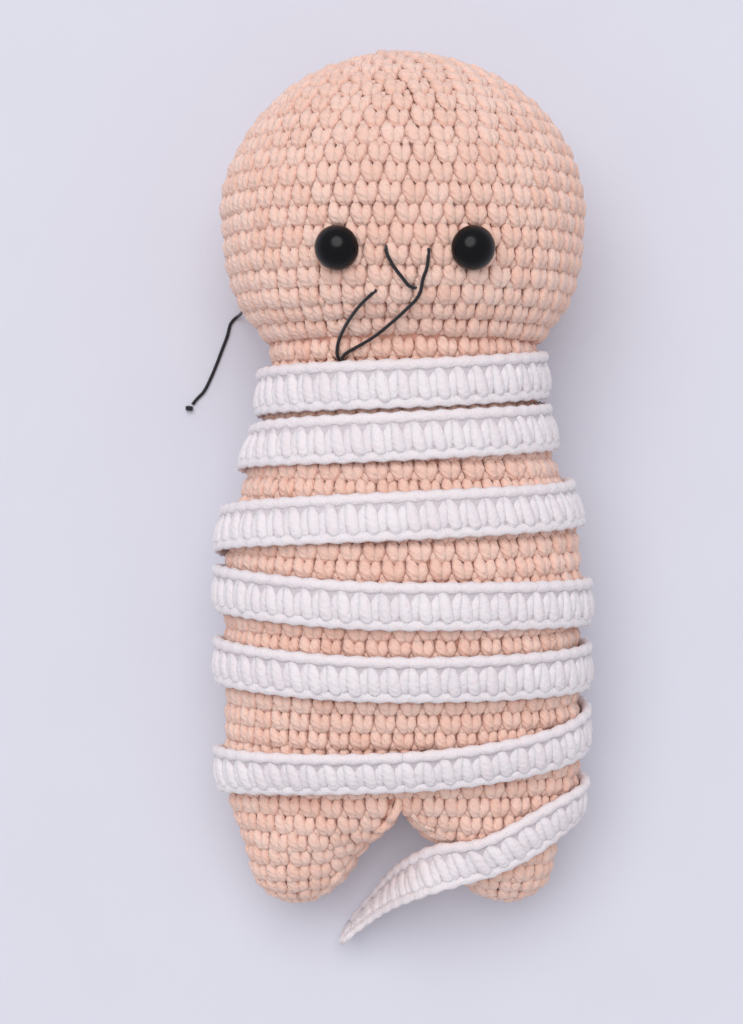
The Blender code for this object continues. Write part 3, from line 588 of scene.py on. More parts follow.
def rounds(surface, start, end, slant, multiple=COUNT_STEP):
    """The stitches of a piece, row by row. Each has its point, facing, across and size."""
    angles = np.linspace(0.0, 2 * math.pi, ROUND_POINTS + 1)
    edges = row_edges(surface, angles, start, end)
    found = []
    for k, (low, high) in enumerate(zip(edges, edges[1:])):
        middle = (low + high) / 2
        ring = surface(angles, middle)
        walk = walked(ring)
        count = max(COUNT_STEP, multiple * round(walk[-1] / STITCH_WIDTH / multiple))
        spots = (np.arange(count) - slant * k) / count % 1.0 * walk[-1]
        angle = np.interp(spots, walk, angles)
        point, facing, _ = frames(surface, angle, np.interp(angle, angles, middle))
        before, after = (spots - RING_STEP) % walk[-1], (spots + RING_STEP) % walk[-1]
        across = unit(columns_at(before, walk, ring) - columns_at(after, walk, ring))
        height = sum(
            np.linalg.norm(surface(angle, np.interp(angle, angles, edge)) - point, axis=1) for edge in (high, low)
        )
        size = np.column_stack([
            np.full(count, walk[-1] / count / STITCH_WIDTH),
            np.minimum(height / ROW_HEIGHT * ROW_OVERLAP, TALLEST_STITCH), np.ones(count),
        ])
        found.append(np.hstack([point, facing, across, size]))
    return np.vstack(found)


BODY_SLANT = 0.17
HEAD_SLANT = 0.17
LEG_SLANT = 0.40

head_stitches = rounds(head, NECK_LATITUDE, math.pi / 2, HEAD_SLANT)
torso_stitches = rounds(torso, CROTCH, NECK, BODY_SLANT)
left_stitches = rounds(left_leg, 0.0, CROTCH, LEG_SLANT / 2, multiple=2)
right_stitches = rounds(right_leg, 0.0, CROTCH, LEG_SLANT, multiple=2)
print("stitches:", len(head_stitches), "head,", len(torso_stitches), "torso,", len(left_stitches), "in a leg")

# %% [markdown]
# One single crochet stitch shows as a V of two plump arms. The left arm is longer: it reaches up beside the tip
# of the stitch above. A short single arm beside them is the bar between two stitches. Each arm is a closed tube
# of six sides, because it is repeated thousands of times.

# %% The shape of one stitch
ARM_SIDES = 6
ARM_FLATNESS = 0.74
PEACH_ARMS = (
    (
        ((-0.0001, -0.0025, -0.0010), 0.0008), ((-0.0006, -0.0011, -0.0001), 0.0015),
        ((-0.0012, 0.0007, 0.0001), 0.0016), ((-0.0013, 0.0021, -0.0004), 0.0012),
        ((-0.0012, 0.0029, -0.0011), 0.0005),
    ),
    (
        ((0.0002, -0.0025, -0.0011), 0.0008), ((0.0007, -0.0011, -0.0002), 0.0014),
        ((0.0012, 0.0004, 0.0000), 0.0015), ((0.0013, 0.0017, -0.0006), 0.0011),
        ((0.0012, 0.0025, -0.0013), 0.0005),
    ),
    (
        ((0.0026, -0.0030, -0.0010), 0.0006), ((0.0027, -0.0015, -0.0003), 0.0009),
        ((0.0026, 0.0002, -0.0009), 0.0007),
    ),
)


def stitch_object(name, arms, sides=ARM_SIDES, flatness=ARM_FLATNESS):
    """A stitch that waits outside the scene to be repeated. Each arm is a list of places with the yarn's radius."""
    tubes = []
    for stations in arms:
        points = np.array([place for place, _ in stations])
        rings = []
        for point, way, (_, radius) in zip(points, directions(points), stations):
            side = radius * unit(np.cross(way, (0.0, 0.0, 1.0)))
            rings.append(ring_at(point, side, np.cross(way, side) * flatness, sides))
        tubes.append((rings, np.linspace(0, 1, len(rings))))
    mesh = ring_mesh(name, tubes)
    print(name, "has", len(mesh.polygons), "faces")
    return bpy.data.objects.new(name, mesh)


peach_stitch = stitch_object("peach_stitch", PEACH_ARMS)

# %% [markdown]
# Yarn isn't one colour. Each stitch gets its own random shade, kept in an attribute, and a slow noise makes the
# colour vary a little more from place to place. Fine noise on Object coordinates gives the fuzz of the fibres, and
# a wave on the arm's own UV map gives the twist of the plies.

# %% Yarn materials
STITCH_SHADE_SHARE = 0.55
SLOW_NOISE_SCALE = 110.0
LUMP_SCALE = 900.0
LUMP_DEPTH = 0.00045
FUZZ_SCALE = 2600.0
PLY_SCALE = (3.0, 3.2, 1.0)
SHADE_SPAN = (0.15, 0.85)


def make_yarn(name, dark, light, roughness, sheen, ply_depth, fuzz_depth):
    """Yarn in shades from dark to light, with lumps, plies and fuzz."""
    material, shader = new_material(
        name, light, Roughness=roughness, Sheen_Weight=sheen, Sheen_Roughness=0.45, Specular_IOR_Level=0.25,
        Subsurface_Weight=0.25, Subsurface_Scale=0.0012, Subsurface_Radius=(1.0, 0.75, 0.65),
    )
    tree = material.node_tree
    slow_noise = calculated(tree, "MULTIPLY", noise(shader, SLOW_NOISE_SCALE, detail=3.0), 1 - STITCH_SHADE_SHARE)
    stitch = add_node(tree, "ShaderNodeAttribute", attribute_name="shade").outputs["Fac"]
    tint(shader, calculated(tree, "MULTIPLY_ADD", stitch, STITCH_SHADE_SHARE, slow_noise), dark, light, *SHADE_SPAN)
    add_bump(shader, noise(shader, LUMP_SCALE), strength=0.8, distance=LUMP_DEPTH)
    add_bump(shader, plies(shader, PLY_SCALE, distortion=1.2), strength=0.8, distance=ply_depth)
    add_bump(shader, noise(shader, FUZZ_SCALE), strength=0.7, distance=fuzz_depth)
    print(name, "has", len(tree.nodes), "nodes")
    return material


# After the two colours come roughness, sheen, and how deep the plies and the fuzz go
PEACH_YARN = make_yarn("peach_yarn", (240, 195, 177), (248, 210, 195), 0.80, 0.30, 0.00014, 0.00014)
# The inside's peach is the yarn's, painted darker and redder: painted shade for the gaps between the stitches
PEACH_INSIDE_PAINTED_SHADE = make_yarn("peach_inside_painted_shade", (226, 170, 150), (235, 184, 164), 0.9, 0.1, 0.00014, 0.00014)
WHITE_YARN = make_yarn("white_yarn", (234, 223, 226), (240, 231, 233), 0.82, 0.30, 0.00006, 0.00012)
# The inside's white is painted darker and greyer: painted shade for the holes between the strip's stitches
WHITE_INSIDE_PAINTED_SHADE = make_yarn("white_inside_painted_shade", (208, 198, 202), (220, 211, 215), 0.9, 0.1, 0.00006, 0.00012)

# %% [markdown]
# Geometry Nodes set a stitch on every point. The points carry how wide and tall their stitch is, and which way
# it faces and runs, so a single tree serves head, body, legs and strip. A seed keeps the small
# irregularities the same on every run.

# %% The tree's inputs
LAY_STITCHES = bpy.data.node_groups.new("lay_stitches", "GeometryNodeTree")
for name, kind in (
    ("Geometry", "Geometry"), ("Stitch", "Object"), ("Material", "Material"), ("Swing", "Float"),
    ("Drift", "Float"), ("Swell", "Float"), ("Seed", "Int"),
):
    LAY_STITCHES.interface.new_socket(name, in_out="INPUT", socket_type="NodeSocket" + kind)
LAY_STITCHES.interface.new_socket("Geometry", in_out="OUTPUT", socket_type="NodeSocketGeometry")


def step(kind, **values):
    """A node in this tree."""
    return add_node(LAY_STITCHES, kind, **values)


given = step("NodeGroupInput").outputs
print("the tree takes", ", ".join(socket.name for socket in given if socket.name))

# %% Attributes and chance in the tree
def named(name):
    """An attribute of the points."""
    return step("GeometryNodeInputNamedAttribute", data_type="FLOAT_VECTOR", Name=name).outputs[0]


def random_value(low, high, draw):
    """A random number for each point. Every draw has its own number, which is added to the seed."""
    seed = calculated(LAY_STITCHES, "ADD", given["Seed"], draw)
    made = step("FunctionNodeRandomValue", data_type="FLOAT", Min=low, Max=high, Seed=seed)
    return next(socket for socket in made.outputs if socket.enabled)


def either_way(reach, *draws):
    """Random numbers from minus to plus a reach: one, or three as a vector."""
    low = calculated(LAY_STITCHES, "MULTIPLY", reach, -1.0)
    found = [random_value(low, reach, draw) for draw in draws]
    if len(found) == 1:
        return found[0]
    return step("ShaderNodeCombineXYZ", **dict(zip("XYZ", found))).outputs[0]


swing = step("FunctionNodeEulerToRotation", Euler=either_way(given["Swing"], 1, 2, 3))
swell = calculated(LAY_STITCHES, "ADD", either_way(given["Swell"], 4), 1.0)
drift = either_way(given["Drift"], 5, 6, 7)
print("a stitch swings, swells and drifts by chance, in", len(LAY_STITCHES.nodes), "nodes so far")

# %% Laying, shading and painting
facing = step(
    "FunctionNodeAxesToRotation", primary_axis="Z", secondary_axis="X", Primary_Axis=named("facing"),
    Secondary_Axis=named("across"),
).outputs[0]
turned = step("FunctionNodeRotateRotation", rotation_space="LOCAL", Rotation=facing, Rotate_By=swing.outputs[0])
size = step("ShaderNodeVectorMath", operation="SCALE", Vector=named("size"), Scale=swell)
stitch = step("GeometryNodeObjectInfo", Object=given["Stitch"])
moved = step("GeometryNodeSetPosition", Geometry=given["Geometry"], Offset=drift)
laid = step(
    "GeometryNodeInstanceOnPoints", Points=moved.outputs[0], Instance=stitch.outputs["Geometry"],
    Rotation=turned.outputs[0], Scale=size.outputs[0],
)
shade = step(
    "GeometryNodeStoreNamedAttribute", data_type="FLOAT", domain="INSTANCE", Geometry=laid.outputs[0], Name="shade",
    Value=random_value(0.0, 1.0, 8),
)
real = step("GeometryNodeRealizeInstances", Geometry=shade.outputs[0])
painted = step("GeometryNodeSetMaterial", Geometry=real.outputs[0], Material=given["Material"])
step("NodeGroupOutput", Geometry=painted.outputs[0])
print(LAY_STITCHES.name, "has", len(LAY_STITCHES.nodes), "nodes")

# %% [markdown]
# A cloud of points carries the tree as a modifier. Its inputs are set by the sockets' identifiers, the result is
# taken as a plain mesh, and the cloud goes again, so that what is kept is a mesh like any other.

# %% From points to a plain mesh
LEAST_HEIGHT = 0.0001


def laid_mesh(name, stitches, stitch, material, seed, looseness):
    """Runs the tree on a cloud of stitches and returns the plain mesh that it makes."""
    mesh = bpy.data.meshes.new(name + "_points")
    mesh.vertices.add(len(stitches))
    mesh.vertices.foreach_set("co", to_world(stitches[:, :3]).astype(np.float32).ravel())
    for column, attribute in ((3, "facing"), (6, "across"), (9, "size")):
        layer = mesh.attributes.new(attribute, "FLOAT_VECTOR", "POINT")
        layer.data.foreach_set("vector", stitches[:, column : column + 3].astype(np.float32).ravel())
    cloud = add_piece(name + "_points", mesh)
    modifier = cloud.modifiers.new("stitches", "NODES")
    modifier.node_group = LAY_STITCHES
    values = {"Stitch": stitch, "Material": material, "Seed": seed, **looseness}
    for item in LAY_STITCHES.interface.items_tree:
        if item.in_out == "INPUT" and item.name in values:
            modifier[item.identifier] = values[item.name]
    graph = bpy.context.evaluated_depsgraph_get()
    mesh = bpy.data.meshes.new_from_object(cloud.evaluated_get(graph), depsgraph=graph)
    mesh.name = name
    bpy.data.objects.remove(cloud, do_unlink=True)
    return mesh


def rest_on_table(mesh):
    """What would reach into the table is pressed flat on it."""
    for vertex in mesh.vertices:
        vertex.co.z = max(vertex.co.z, LEAST_HEIGHT)
    mesh.update()


print(f"nothing goes lower than {LEAST_HEIGHT * 1000:.1f} mm above the table")

# %% [markdown]
# Behind the stitches lies the inside of the fabric. It is painted darker than the yarn, as painted shade, because
# it is never lit. It is a closed skin through the same ovals, moved in by a little more than the yarn's thickness.

# %% The fabric behind the stitches
LUMP_HEIGHT = 0.0004
LUMP_WAYS = ((32.0, 21.0, 0.0), (0.0, 27.0, -34.0), (23.0, 0.0, 24.0))
LUMP_STARTS = (0.4, 1.9, 3.1)
INSIDE_DEPTH = 0.0017
INSIDE_AROUND = 72
INSIDE_STEP = 0.0024


def swelling(points):
    """How far the stuffing pushes the fabric out or lets it sink, in soft uneven waves."""
    waves = [np.sin(2 * math.pi * (points @ np.array(way)) + begin) for way, begin in zip(LUMP_WAYS, LUMP_STARTS)]
    return LUMP_HEIGHT * np.mean(waves, axis=0)[:, None]


def close_at_split(point, angle, y, surface):
    """Above the crotch the two halves of the body's inside meet at the middle, with no way between them."""
    outer = surface(angle, y)
    half_width, half_depth, height = torso_section(y)
    above = y >= CROTCH
    flat = above & (np.abs(outer[:, 0]) < 2 * HALF_SPLIT)
    reach = half_depth - INSIDE_DEPTH
    point[flat, 0] = 0.0
    point[flat, 2] = np.clip(outer[:, 2], height - reach, height + reach)[flat]
    rounded = above & ~flat
    torso_angle = np.arctan2((outer[:, 2] - height) / half_depth, outer[:, 0] / half_width)
    place, facing, _ = frames(torso, torso_angle, y)
    point[rounded] = (place + facing * (swelling(place) - INSIDE_DEPTH))[rounded]


def inside_mesh(name, surface, start, end, tip_start=False, tip_end=False):
    """A closed skin inside a surface, from one place along it to another."""
    count = max(3, round((end - start) / (INSIDE_STEP / (HEAD_TOP if surface is head else 1.0))))
    places = np.linspace(start, end, count + 1)
    if tip_start:
        places = start + (end - start) * (1 - np.cos(np.linspace(0, math.pi / 2, count + 1)))
        places = places[1:]
    if tip_end:
        places = places[:-1]
    angle, place = (grid.ravel() for grid in np.meshgrid(even_turns(INSIDE_AROUND), places))
    point, facing, _ = frames(surface, angle, place)
    point = point + facing * (swelling(point) - INSIDE_DEPTH)
    if surface in (left_leg, right_leg):
        close_at_split(point, angle, place, surface)
    rings = to_world(point).reshape(len(places), INSIDE_AROUND, 3)
    return ring_mesh(name, [(rings, None)], tips=(rings[0].mean(axis=0), rings[-1].mean(axis=0)), shade=0.0)


def joined(name, parts):
    """Meshes with one material each, joined into a single mesh that keeps their materials."""
    shape = bmesh.new()
    materials = []
    for mesh, material in parts:
        if material not in materials:
            materials.append(material)
        first = len(shape.faces)
        shape.from_mesh(mesh)
        shape.faces.ensure_lookup_table()
        for face in shape.faces[first:]:
            face.material_index = materials.index(material)
    made = bpy.data.meshes.new(name)
    shape.to_mesh(made)
    shape.free()
    for material in materials:
        made.materials.append(material)
    for mesh, _ in parts:
        bpy.data.meshes.remove(mesh)
    return made


heights = swelling(head_stitches[:, :3]) * 1000
print(f"stuffing moves the head's yarn by {heights.min():.2f} to {heights.max():.2f} mm")

# %% [markdown]
# The doll bends at its neck and at its hips, so its skin is made in four pieces that meet along rows: the head,
# the chest, and each leg with its half of the hips. A table gives the two bodies that meet at each bend, but the
# pieces are only fixed in place, not blended between them.

# %% Where the skin bends
NECK_SPLIT = 0.118
NECK_BEND_START = 0.100
NECK_BEND_END = 0.136
HIP_BEND_END = 0.006
HIP_BEND_ASIDE = 0.024


def on_y(y, x=0.0):
    """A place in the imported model, from the doll's own y."""
    return (x, y + SHIFT, 0.0)


BENDS = {
    "left_hip": ("torso", "left_leg", on_y(CROTCH), on_y(HIP_BEND_END, HIP_BEND_ASIDE)),
    "right_hip": ("torso", "right_leg", on_y(CROTCH), on_y(HIP_BEND_END, -HIP_BEND_ASIDE)),
    "neck": ("neck", "head", on_y(NECK_SPLIT), on_y(NECK_BEND_END)),
    "shoulders": ("torso", "neck", on_y(NECK_BEND_START), on_y(NECK_SPLIT)),
}


def bend(piece, place):
    """Bakes the piece's transform into its mesh, without blending it between bodies. The place is not used."""
    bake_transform(piece)


print("it bends at", ", ".join(BENDS))

# %% The four pieces of the skin
HIP_SPLIT = 0.082
PEACH_LOOSENESS = {"Swing": 0.07, "Drift": 0.00012, "Swell": 0.045}
PEACH_LIFT = -0.0008
skin_pieces = {}


def skin_piece(name, stitches, insides, place, *nodes, seed):
    """Stitches, and the inside behind them, as one piece of crochet, kept under a place's name."""
    lifted = stitches.copy()
    lifted[:, :3] += stitches[:, 3:6] * (PEACH_LIFT + swelling(stitches[:, :3]))
    laid = laid_mesh(name, lifted, peach_stitch, PEACH_YARN, seed, PEACH_LOOSENESS)
    # The inside is painted darker, as painted shade between the stitches
    mesh = joined(name, [(laid, PEACH_YARN), *[(inside, PEACH_INSIDE_PAINTED_SHADE) for inside in insides]])
    rest_on_table(mesh)
    skin_pieces[place] = add_piece(name, mesh)
    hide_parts(*nodes)
    print(f"{name}: {len(stitches)} stitches, {len(mesh.polygons)} faces")


torso_y, torso_x = torso_stitches[:, 1], torso_stitches[:, 0]
head_rows = np.vstack([head_stitches, torso_stitches[torso_y >= NECK_SPLIT]])
head_insides = [
    inside_mesh("head_inside", head, NECK_LATITUDE, math.pi / 2, tip_end=True),
    inside_mesh("neck_inside", torso, NECK_SPLIT, NECK),
]
skin_piece("head_crochet", head_rows, head_insides, "neck", "head_skin", "head_stuffing", seed=1)
chest_rows = torso_stitches[(torso_y >= HIP_SPLIT) & (torso_y < NECK_SPLIT)]
chest_insides = [inside_mesh("chest_inside", torso, HIP_SPLIT, NECK_SPLIT)]
chest_nodes = ("torso_skin", "torso_stuffing", "neck_stuffing")
skin_piece("chest_crochet", chest_rows, chest_insides, "shoulders", *chest_nodes, seed=2)
for side, way, surface, leg_stitches, seed in (
    ("left", 1, left_leg, left_stitches, 3), ("right", -1, right_leg, right_stitches, 4),
):
    leg = side + "_leg"
    leg_rows = np.vstack([leg_stitches, torso_stitches[(torso_y < HIP_SPLIT) & (torso_x * way >= 0)]])
    leg_insides = [inside_mesh(leg + "_inside", surface, 0.0, HIP_SPLIT, tip_start=True)]
    leg_nodes = (leg + "_skin", leg + "_stuffing")
    skin_piece(leg + "_crochet", leg_rows, leg_insides, side + "_hip", *leg_nodes, seed=seed)
for place in BENDS:
    bend(skin_pieces[place], place)
    print(skin_pieces[place].name, "bends at its", place)

# %% [markdown]
# The strip is worked flat, two rows high. From the outside it shows a rolled chain along each edge and a band
# of V stitches between. It is one long path over the body, then round the left leg, and it ends loose on the
# table.

# %% The strip's path
STRIP_WIDTH = 0.0106
STRIP_THICKNESS = 0.0028
STRIP_CLEARANCE = 0.0007
WINDING_SHARES = (
    (-0.25, 0.634), (0.0, 0.628), (0.25, 0.612), (0.50, 0.606), (1.0, 0.567), (1.25, 0.553), (1.50, 0.5395),
    (2.0, 0.478), (2.25, 0.4635), (2.50, 0.4455), (3.0, 0.364), (3.25, 0.3645), (3.50, 0.380),
    (4.0, 0.2895), (4.25, 0.2835), (4.50, 0.2955), (5.0, 0.2165), (5.25, 0.177), (5.50, 0.1665),
    (5.75, 0.149), (6.0, 0.1315),
)
LOOSE_END_SHARES = ((0.0, 0.974), (0.07, 0.87), (0.13, 0.755), (0.20, 0.64), (0.26, 0.555), (0.31, 0.49))
# Places in halves of the body's width, in legs and in halves of the body's depth, then which way it faces
FREE_END = np.array((
    (0.24, 0.42, 1.20, -0.72, -0.12, 0.68), (0.085, 0.30, 1.04, -0.87, 0.08, 0.48),
    (-0.03, 0.17, 0.77, -0.93, 0.24, 0.28), (-0.125, 0.01, 0.50, -0.91, 0.38, 0.16),
    (-0.215, -0.16, 0.31, -0.87, 0.49, 0.08), (-0.335, -0.37, 0.19, -0.81, 0.58, 0.0),
))
EASE_FROM_TURN = 6.03
PLACE_EASE = 22
FACING_EASE = 60
PATH_STEPS_PER_TURN = 180
LEG_PATH_STEPS = 40
FREE_PATH_STEPS = 40
FREE_END_TURNS = 0.3
PATH_LIFT = STRIP_CLEARANCE + STRIP_THICKNESS / 2


def strip_path():
    """Middles and facings along the whole strip, with the turn that each is at, counted on past the winding."""
    first, last = WINDING_SHARES[0][0], WINDING_SHARES[-1][0]
    turns = np.linspace(first, last, round((last - first) * PATH_STEPS_PER_TURN) + 1)
    heights = CROWN * smooth(WINDING_SHARES, turns)
    point, facing, _ = frames(skin, 2 * math.pi * turns, heights)
    leg_turns = np.linspace(0.0, LOOSE_END_SHARES[-1][0], LEG_PATH_STEPS)[1:]
    leg_heights = LEG_LENGTH * smooth(LOOSE_END_SHARES, leg_turns)
    leg_point, leg_facing, _ = frames(left_leg, 2 * math.pi * leg_turns, leg_heights)
    facing = np.vstack([facing, leg_facing])
    laid = np.hstack([np.vstack([point, leg_point]) + facing * PATH_LIFT, facing])
    controls = FREE_END * (BODY_WIDTH / 2, LEG_LENGTH, BODY_DEPTH / 2, 1.0, 1.0, 1.0)
    free = curve_through([laid[-1], *controls], FREE_PATH_STEPS)[1:]
    path = np.vstack([laid, free])
    free_turns = np.linspace(0, FREE_END_TURNS, len(free))
    counted = np.concatenate([turns, last + leg_turns, last + leg_turns[-1] + free_turns])
    begin = int(np.searchsorted(counted, EASE_FROM_TURN))
    for columns, times in ((slice(0, 3), PLACE_EASE), (slice(3, 6), FACING_EASE)):
        for _ in range(times):
            before, at, after = path[begin - 1 : -2, columns], path[begin:-1, columns], path[begin + 1 :, columns]
            path[begin:-1, columns] = (before + 2 * at + after) / 4
    return path, counted


strip_places, strip_turns = strip_path()
strip_walk = walked(strip_places[:, :3])
print(f"strip: {strip_walk[-1] * 1000:.0f} mm long")

# %% The strip at any length along it
TANGENT_REACH = 0.0002


def strip_frames(walk):
    """The strip at lengths along it: middle, facing, across (to the viewer's right) and up."""
    path, ahead, behind = (
        columns_at(walk + reach, strip_walk, strip_places) for reach in (0.0, TANGENT_REACH, -TANGENT_REACH)
    )
    across = unit((behind - ahead)[:, :3])
    middle, facing = path[:, :3], path[:, 3:]
    facing = unit(facing - across * np.sum(facing * across, axis=1)[:, None])
    up = np.cross(facing, across)
    reach = np.abs(up[:, 2]) * STRIP_WIDTH / 2 + np.abs(facing[:, 2]) * STRIP_THICKNESS / 2
    middle[:, 2] = np.maximum(middle[:, 2], reach + 2 * LEAST_HEIGHT)
    return middle, facing, across, up


def walk_at(turn):
    """How far along the strip a turn is."""
    return float(np.interp(turn, strip_turns, strip_walk))


print(f"its first whole turn is {(walk_at(1.0) - walk_at(0.0)) * 1000:.0f} mm")

# %% [markdown]
# One stitch of the strip shows as a steep V of two plump arms that touch their neighbours. Only at the tips, under
# the upper edge, does a small hole stay open to the fabric behind, which is painted darker as painted shade. The
# two edges of the strip are rolled: each is a chain of loops pulled so tight that it reads as one soft cord, a
# little thicker in the middle of each loop. The lower edge lies flatter, because the feet of the stitches cover it.

# %% The strip's stitch
STRIP_PITCH = 0.0045
WHITE_FLATNESS = 0.62
WHITE_SIDES = 8
WHITE_ARMS = (
    (
        ((-0.0001, -0.0042, -0.0001), 0.0010), ((-0.0006, -0.0029, 0.0004), 0.0015),
        ((-0.0011, -0.0010, 0.0003), 0.0018), ((-0.0014, 0.0008, 0.0002), 0.0016),
        ((-0.0020, 0.0031, -0.0003), 0.0011),
    ),
    (
        ((0.0005, -0.0041, -0.0005), 0.0009), ((0.0008, -0.0028, -0.0002), 0.0014),
        ((0.0012, -0.0012, 0.0000), 0.0017), ((0.0015, 0.0008, 0.0000), 0.0015),
        ((0.0021, 0.0030, -0.0004), 0.0010),
    ),
)
white_stitch = stitch_object("white_stitch", WHITE_ARMS, WHITE_SIDES, WHITE_FLATNESS)
EDGE_ARMS = (
    (
        ((0.0, -0.0046, -0.0001), 0.0011), ((0.0001, -0.0016, 0.0001), 0.0014),
        ((-0.0001, 0.0015, 0.0001), 0.0014), ((0.0, 0.0044, 0.0000), 0.0012),
    ),
)
edge_stitch = stitch_object("edge_stitch", EDGE_ARMS)

# %% Ribbon and rolled edges
RIBBON_THICKNESS = 0.0005
RIBBON_WIDTH = 0.0100
RIBBON_STEP = 0.0016
RIBBON_CORNERS = np.array((
    (-0.5, 0.0), (-0.46, 0.5), (0.0, 0.5), (0.46, 0.5), (0.5, 0.0), (0.46, -0.5), (0.0, -0.5), (-0.46, -0.5),
))
END_RIM = 0.00004
ROLL_RADIUS = 0.0015
ROLL_WAIST = 0.26
ROLL_FLATNESS = {-1: 0.62, 1: 0.85}
ROLL_REACH = 0.0042
ROLL_SIDES = 8
ROLL_STATIONS = 4


def shares_between(start, end, count):
    """Even shares of the way, and one more beside each end, so that only a fine rim is shaded round the corner."""
    shares, rim = np.linspace(0.0, 1.0, count + 1), END_RIM / (end - start)
    return np.concatenate([shares[:1], shares[:1] + rim, shares[1:-1], shares[-1:] - rim, shares[-1:]])


def along_strip(start, end, shares, wide, thick):
    """Rings along the strip, from how far their points lie across it and out of it."""
    middle, facing, _, up = strip_frames(start + (end - start) * shares)
    return to_world(middle[:, None] + up[:, None] * wide[..., None] + facing[:, None] * thick[..., None])


def ribbon_mesh(name, start, end):
    """The plain ribbon of fabric that the strip's stitches stand on."""
    shares = shares_between(start, end, max(3, round((end - start) / RIBBON_STEP)))
    wide, thick = (RIBBON_CORNERS * (RIBBON_WIDTH, RIBBON_THICKNESS)).T
    return ring_mesh(name, [(along_strip(start, end, shares, wide, thick), None)], shade=0.0)


def roll_mesh(name, start, end, edge):
    """One rolled edge of the strip: a soft cord that swells once in every stitch."""
    loops = max(1, round((end - start) / STRIP_PITCH))
    shares = shares_between(start, end, loops * ROLL_STATIONS)
    radius = ROLL_RADIUS * (1.0 - ROLL_WAIST * (0.5 + 0.5 * np.cos(2 * math.pi * loops * shares[:, None])))
    turns = even_turns(ROLL_SIDES)
    wide, thick = edge * ROLL_REACH + radius * np.cos(turns), radius * np.sin(turns) * ROLL_FLATNESS[edge]
    rings = along_strip(start, end, shares, wide, thick)
    return ring_mesh(name, [(rings, np.arange(len(rings)) / ROLL_STATIONS)], shade=0.5)


print(f"a roll is {(1 - ROLL_WAIST) * ROLL_RADIUS * 2000:.1f} to {ROLL_RADIUS * 2000:.1f} mm thick")

# %% The strip's pieces
END_INSET = 0.0016
STRIP_LOOSENESS = {"Swing": 0.045, "Drift": 0.00010, "Swell": 0.04}
# From and to which turn, the last one to the strip's end, then where it bends and what it lies on
STRIP_PIECES = {
    "strip_neck": (-0.25, 0.60, "neck", ["head_crochet"]),
    "strip_shoulders": (0.60, 1.75, "shoulders", ["chest_crochet"]),
    "strip_body": (1.75, 4.75, None, ["chest_crochet", "left_leg_crochet", "right_leg_crochet"]),
    "strip_left_hip": (4.75, 5.25, "left_hip", ["left_leg_crochet"]),
    "strip_right_hip": (5.25, 5.75, "right_hip", ["right_leg_crochet"]),
    "strip_left_leg": (5.75, 7.0, "left_hip", ["left_leg_crochet"]),
}


def stitches_at(walk, width=1.0):
    """Stitches at lengths along the strip. Their width is a share of the usual one."""
    middle, facing, across, _ = strip_frames(np.asarray(walk))
    return np.hstack([middle, facing, across, np.tile((width, 1.0, 1.0), (len(walk), 1))])


def strip_stitches(start, end):
    """Whole stitches between two lengths."""
    count = max(1, round((end - start) / STRIP_PITCH))
    pitch = (end - start) / count
    return stitches_at(start + (np.arange(count) + 0.5) * pitch, pitch / STRIP_PITCH)


def stitched_mesh(name, start, end, seed):
    """V stitches between two rolled edges. An end of the whole strip is closed by one more arm across it."""
    first, last = max(start, END_INSET), min(end, strip_walk[-1] - END_INSET)
    kinds = [(white_stitch, strip_stitches(first, last))]
    if first != start or last != end:
        edge = END_INSET / 2 if first != start else strip_walk[-1] - END_INSET / 2
        kinds.append((edge_stitch, stitches_at([edge])))
    parts = [laid_mesh(name, spots, stitch, WHITE_YARN, seed, STRIP_LOOSENESS) for stitch, spots in kinds]
    parts += [roll_mesh(name, first, last, edge) for edge in (-1, 1)]
    return joined(name + "_stitches", [(part, WHITE_YARN) for part in parts])


for number, (name, (start_turn, end_turn, place, under)) in enumerate(STRIP_PIECES.items()):
    start, end = walk_at(start_turn), walk_at(end_turn)
    # The ribbon is painted in the darker white, as painted shade in the holes between the stitches
    ribbon = add_piece(name, ribbon_mesh(name, start, end), WHITE_INSIDE_PAINTED_SHADE)
    stitches = add_piece(name + "_stitches", stitched_mesh(name, start, end, seed=20 + number))
    for piece in (ribbon, stitches):
        rest_on_table(piece.data)
        if place is None:
            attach(piece, "torso")
        else:
            bend(piece, place)
    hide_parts("bandage_winding")
    print(f"{name}: {(end - start) * 1000:.0f} mm, {len(stitches.data.polygons)} faces, on", ", ".join(under))
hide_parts("bandage_loose_end")

# %% [markdown]
# Safety eyes are polished black plastic domes. A dome is half of a flattened ball with a fine rounded rim, turned
# with many sides, because every facet would show in its highlight.

# %% The look of the eyes
BLACK_PLASTIC, shader = new_material("black_plastic", (5, 5, 8), Roughness=0.20, Specular_IOR_Level=0.22)
smudge = noise(shader, scale=420.0)
gloss = add_node(shader.id_data, "ShaderNodeMapRange", Value=smudge, To_Min=0.17, To_Max=0.25)
feed(shader.inputs["Roughness"], gloss.outputs["Result"])
add_bump(shader, smudge, strength=0.15, distance=0.00002)
print(BLACK_PLASTIC.name, "has", len(BLACK_PLASTIC.node_tree.nodes), "nodes")

# %% Eyes
EYE_RADIUS = 0.0050
DOME_HEIGHT = 0.0044
EYE_RIM = 0.00045
BACK_HEIGHT = -0.0002
BACK_RADIUS = 0.0044
POST_RADIUS = 0.0015
POST_END = -0.0088
POST_BEVEL = (0.0002, 0.0004)
RIM_HEIGHT = BACK_HEIGHT + EYE_RIM
EYE_SIDES = 64
EYE_RINGS = 16
RIM_RINGS = 5


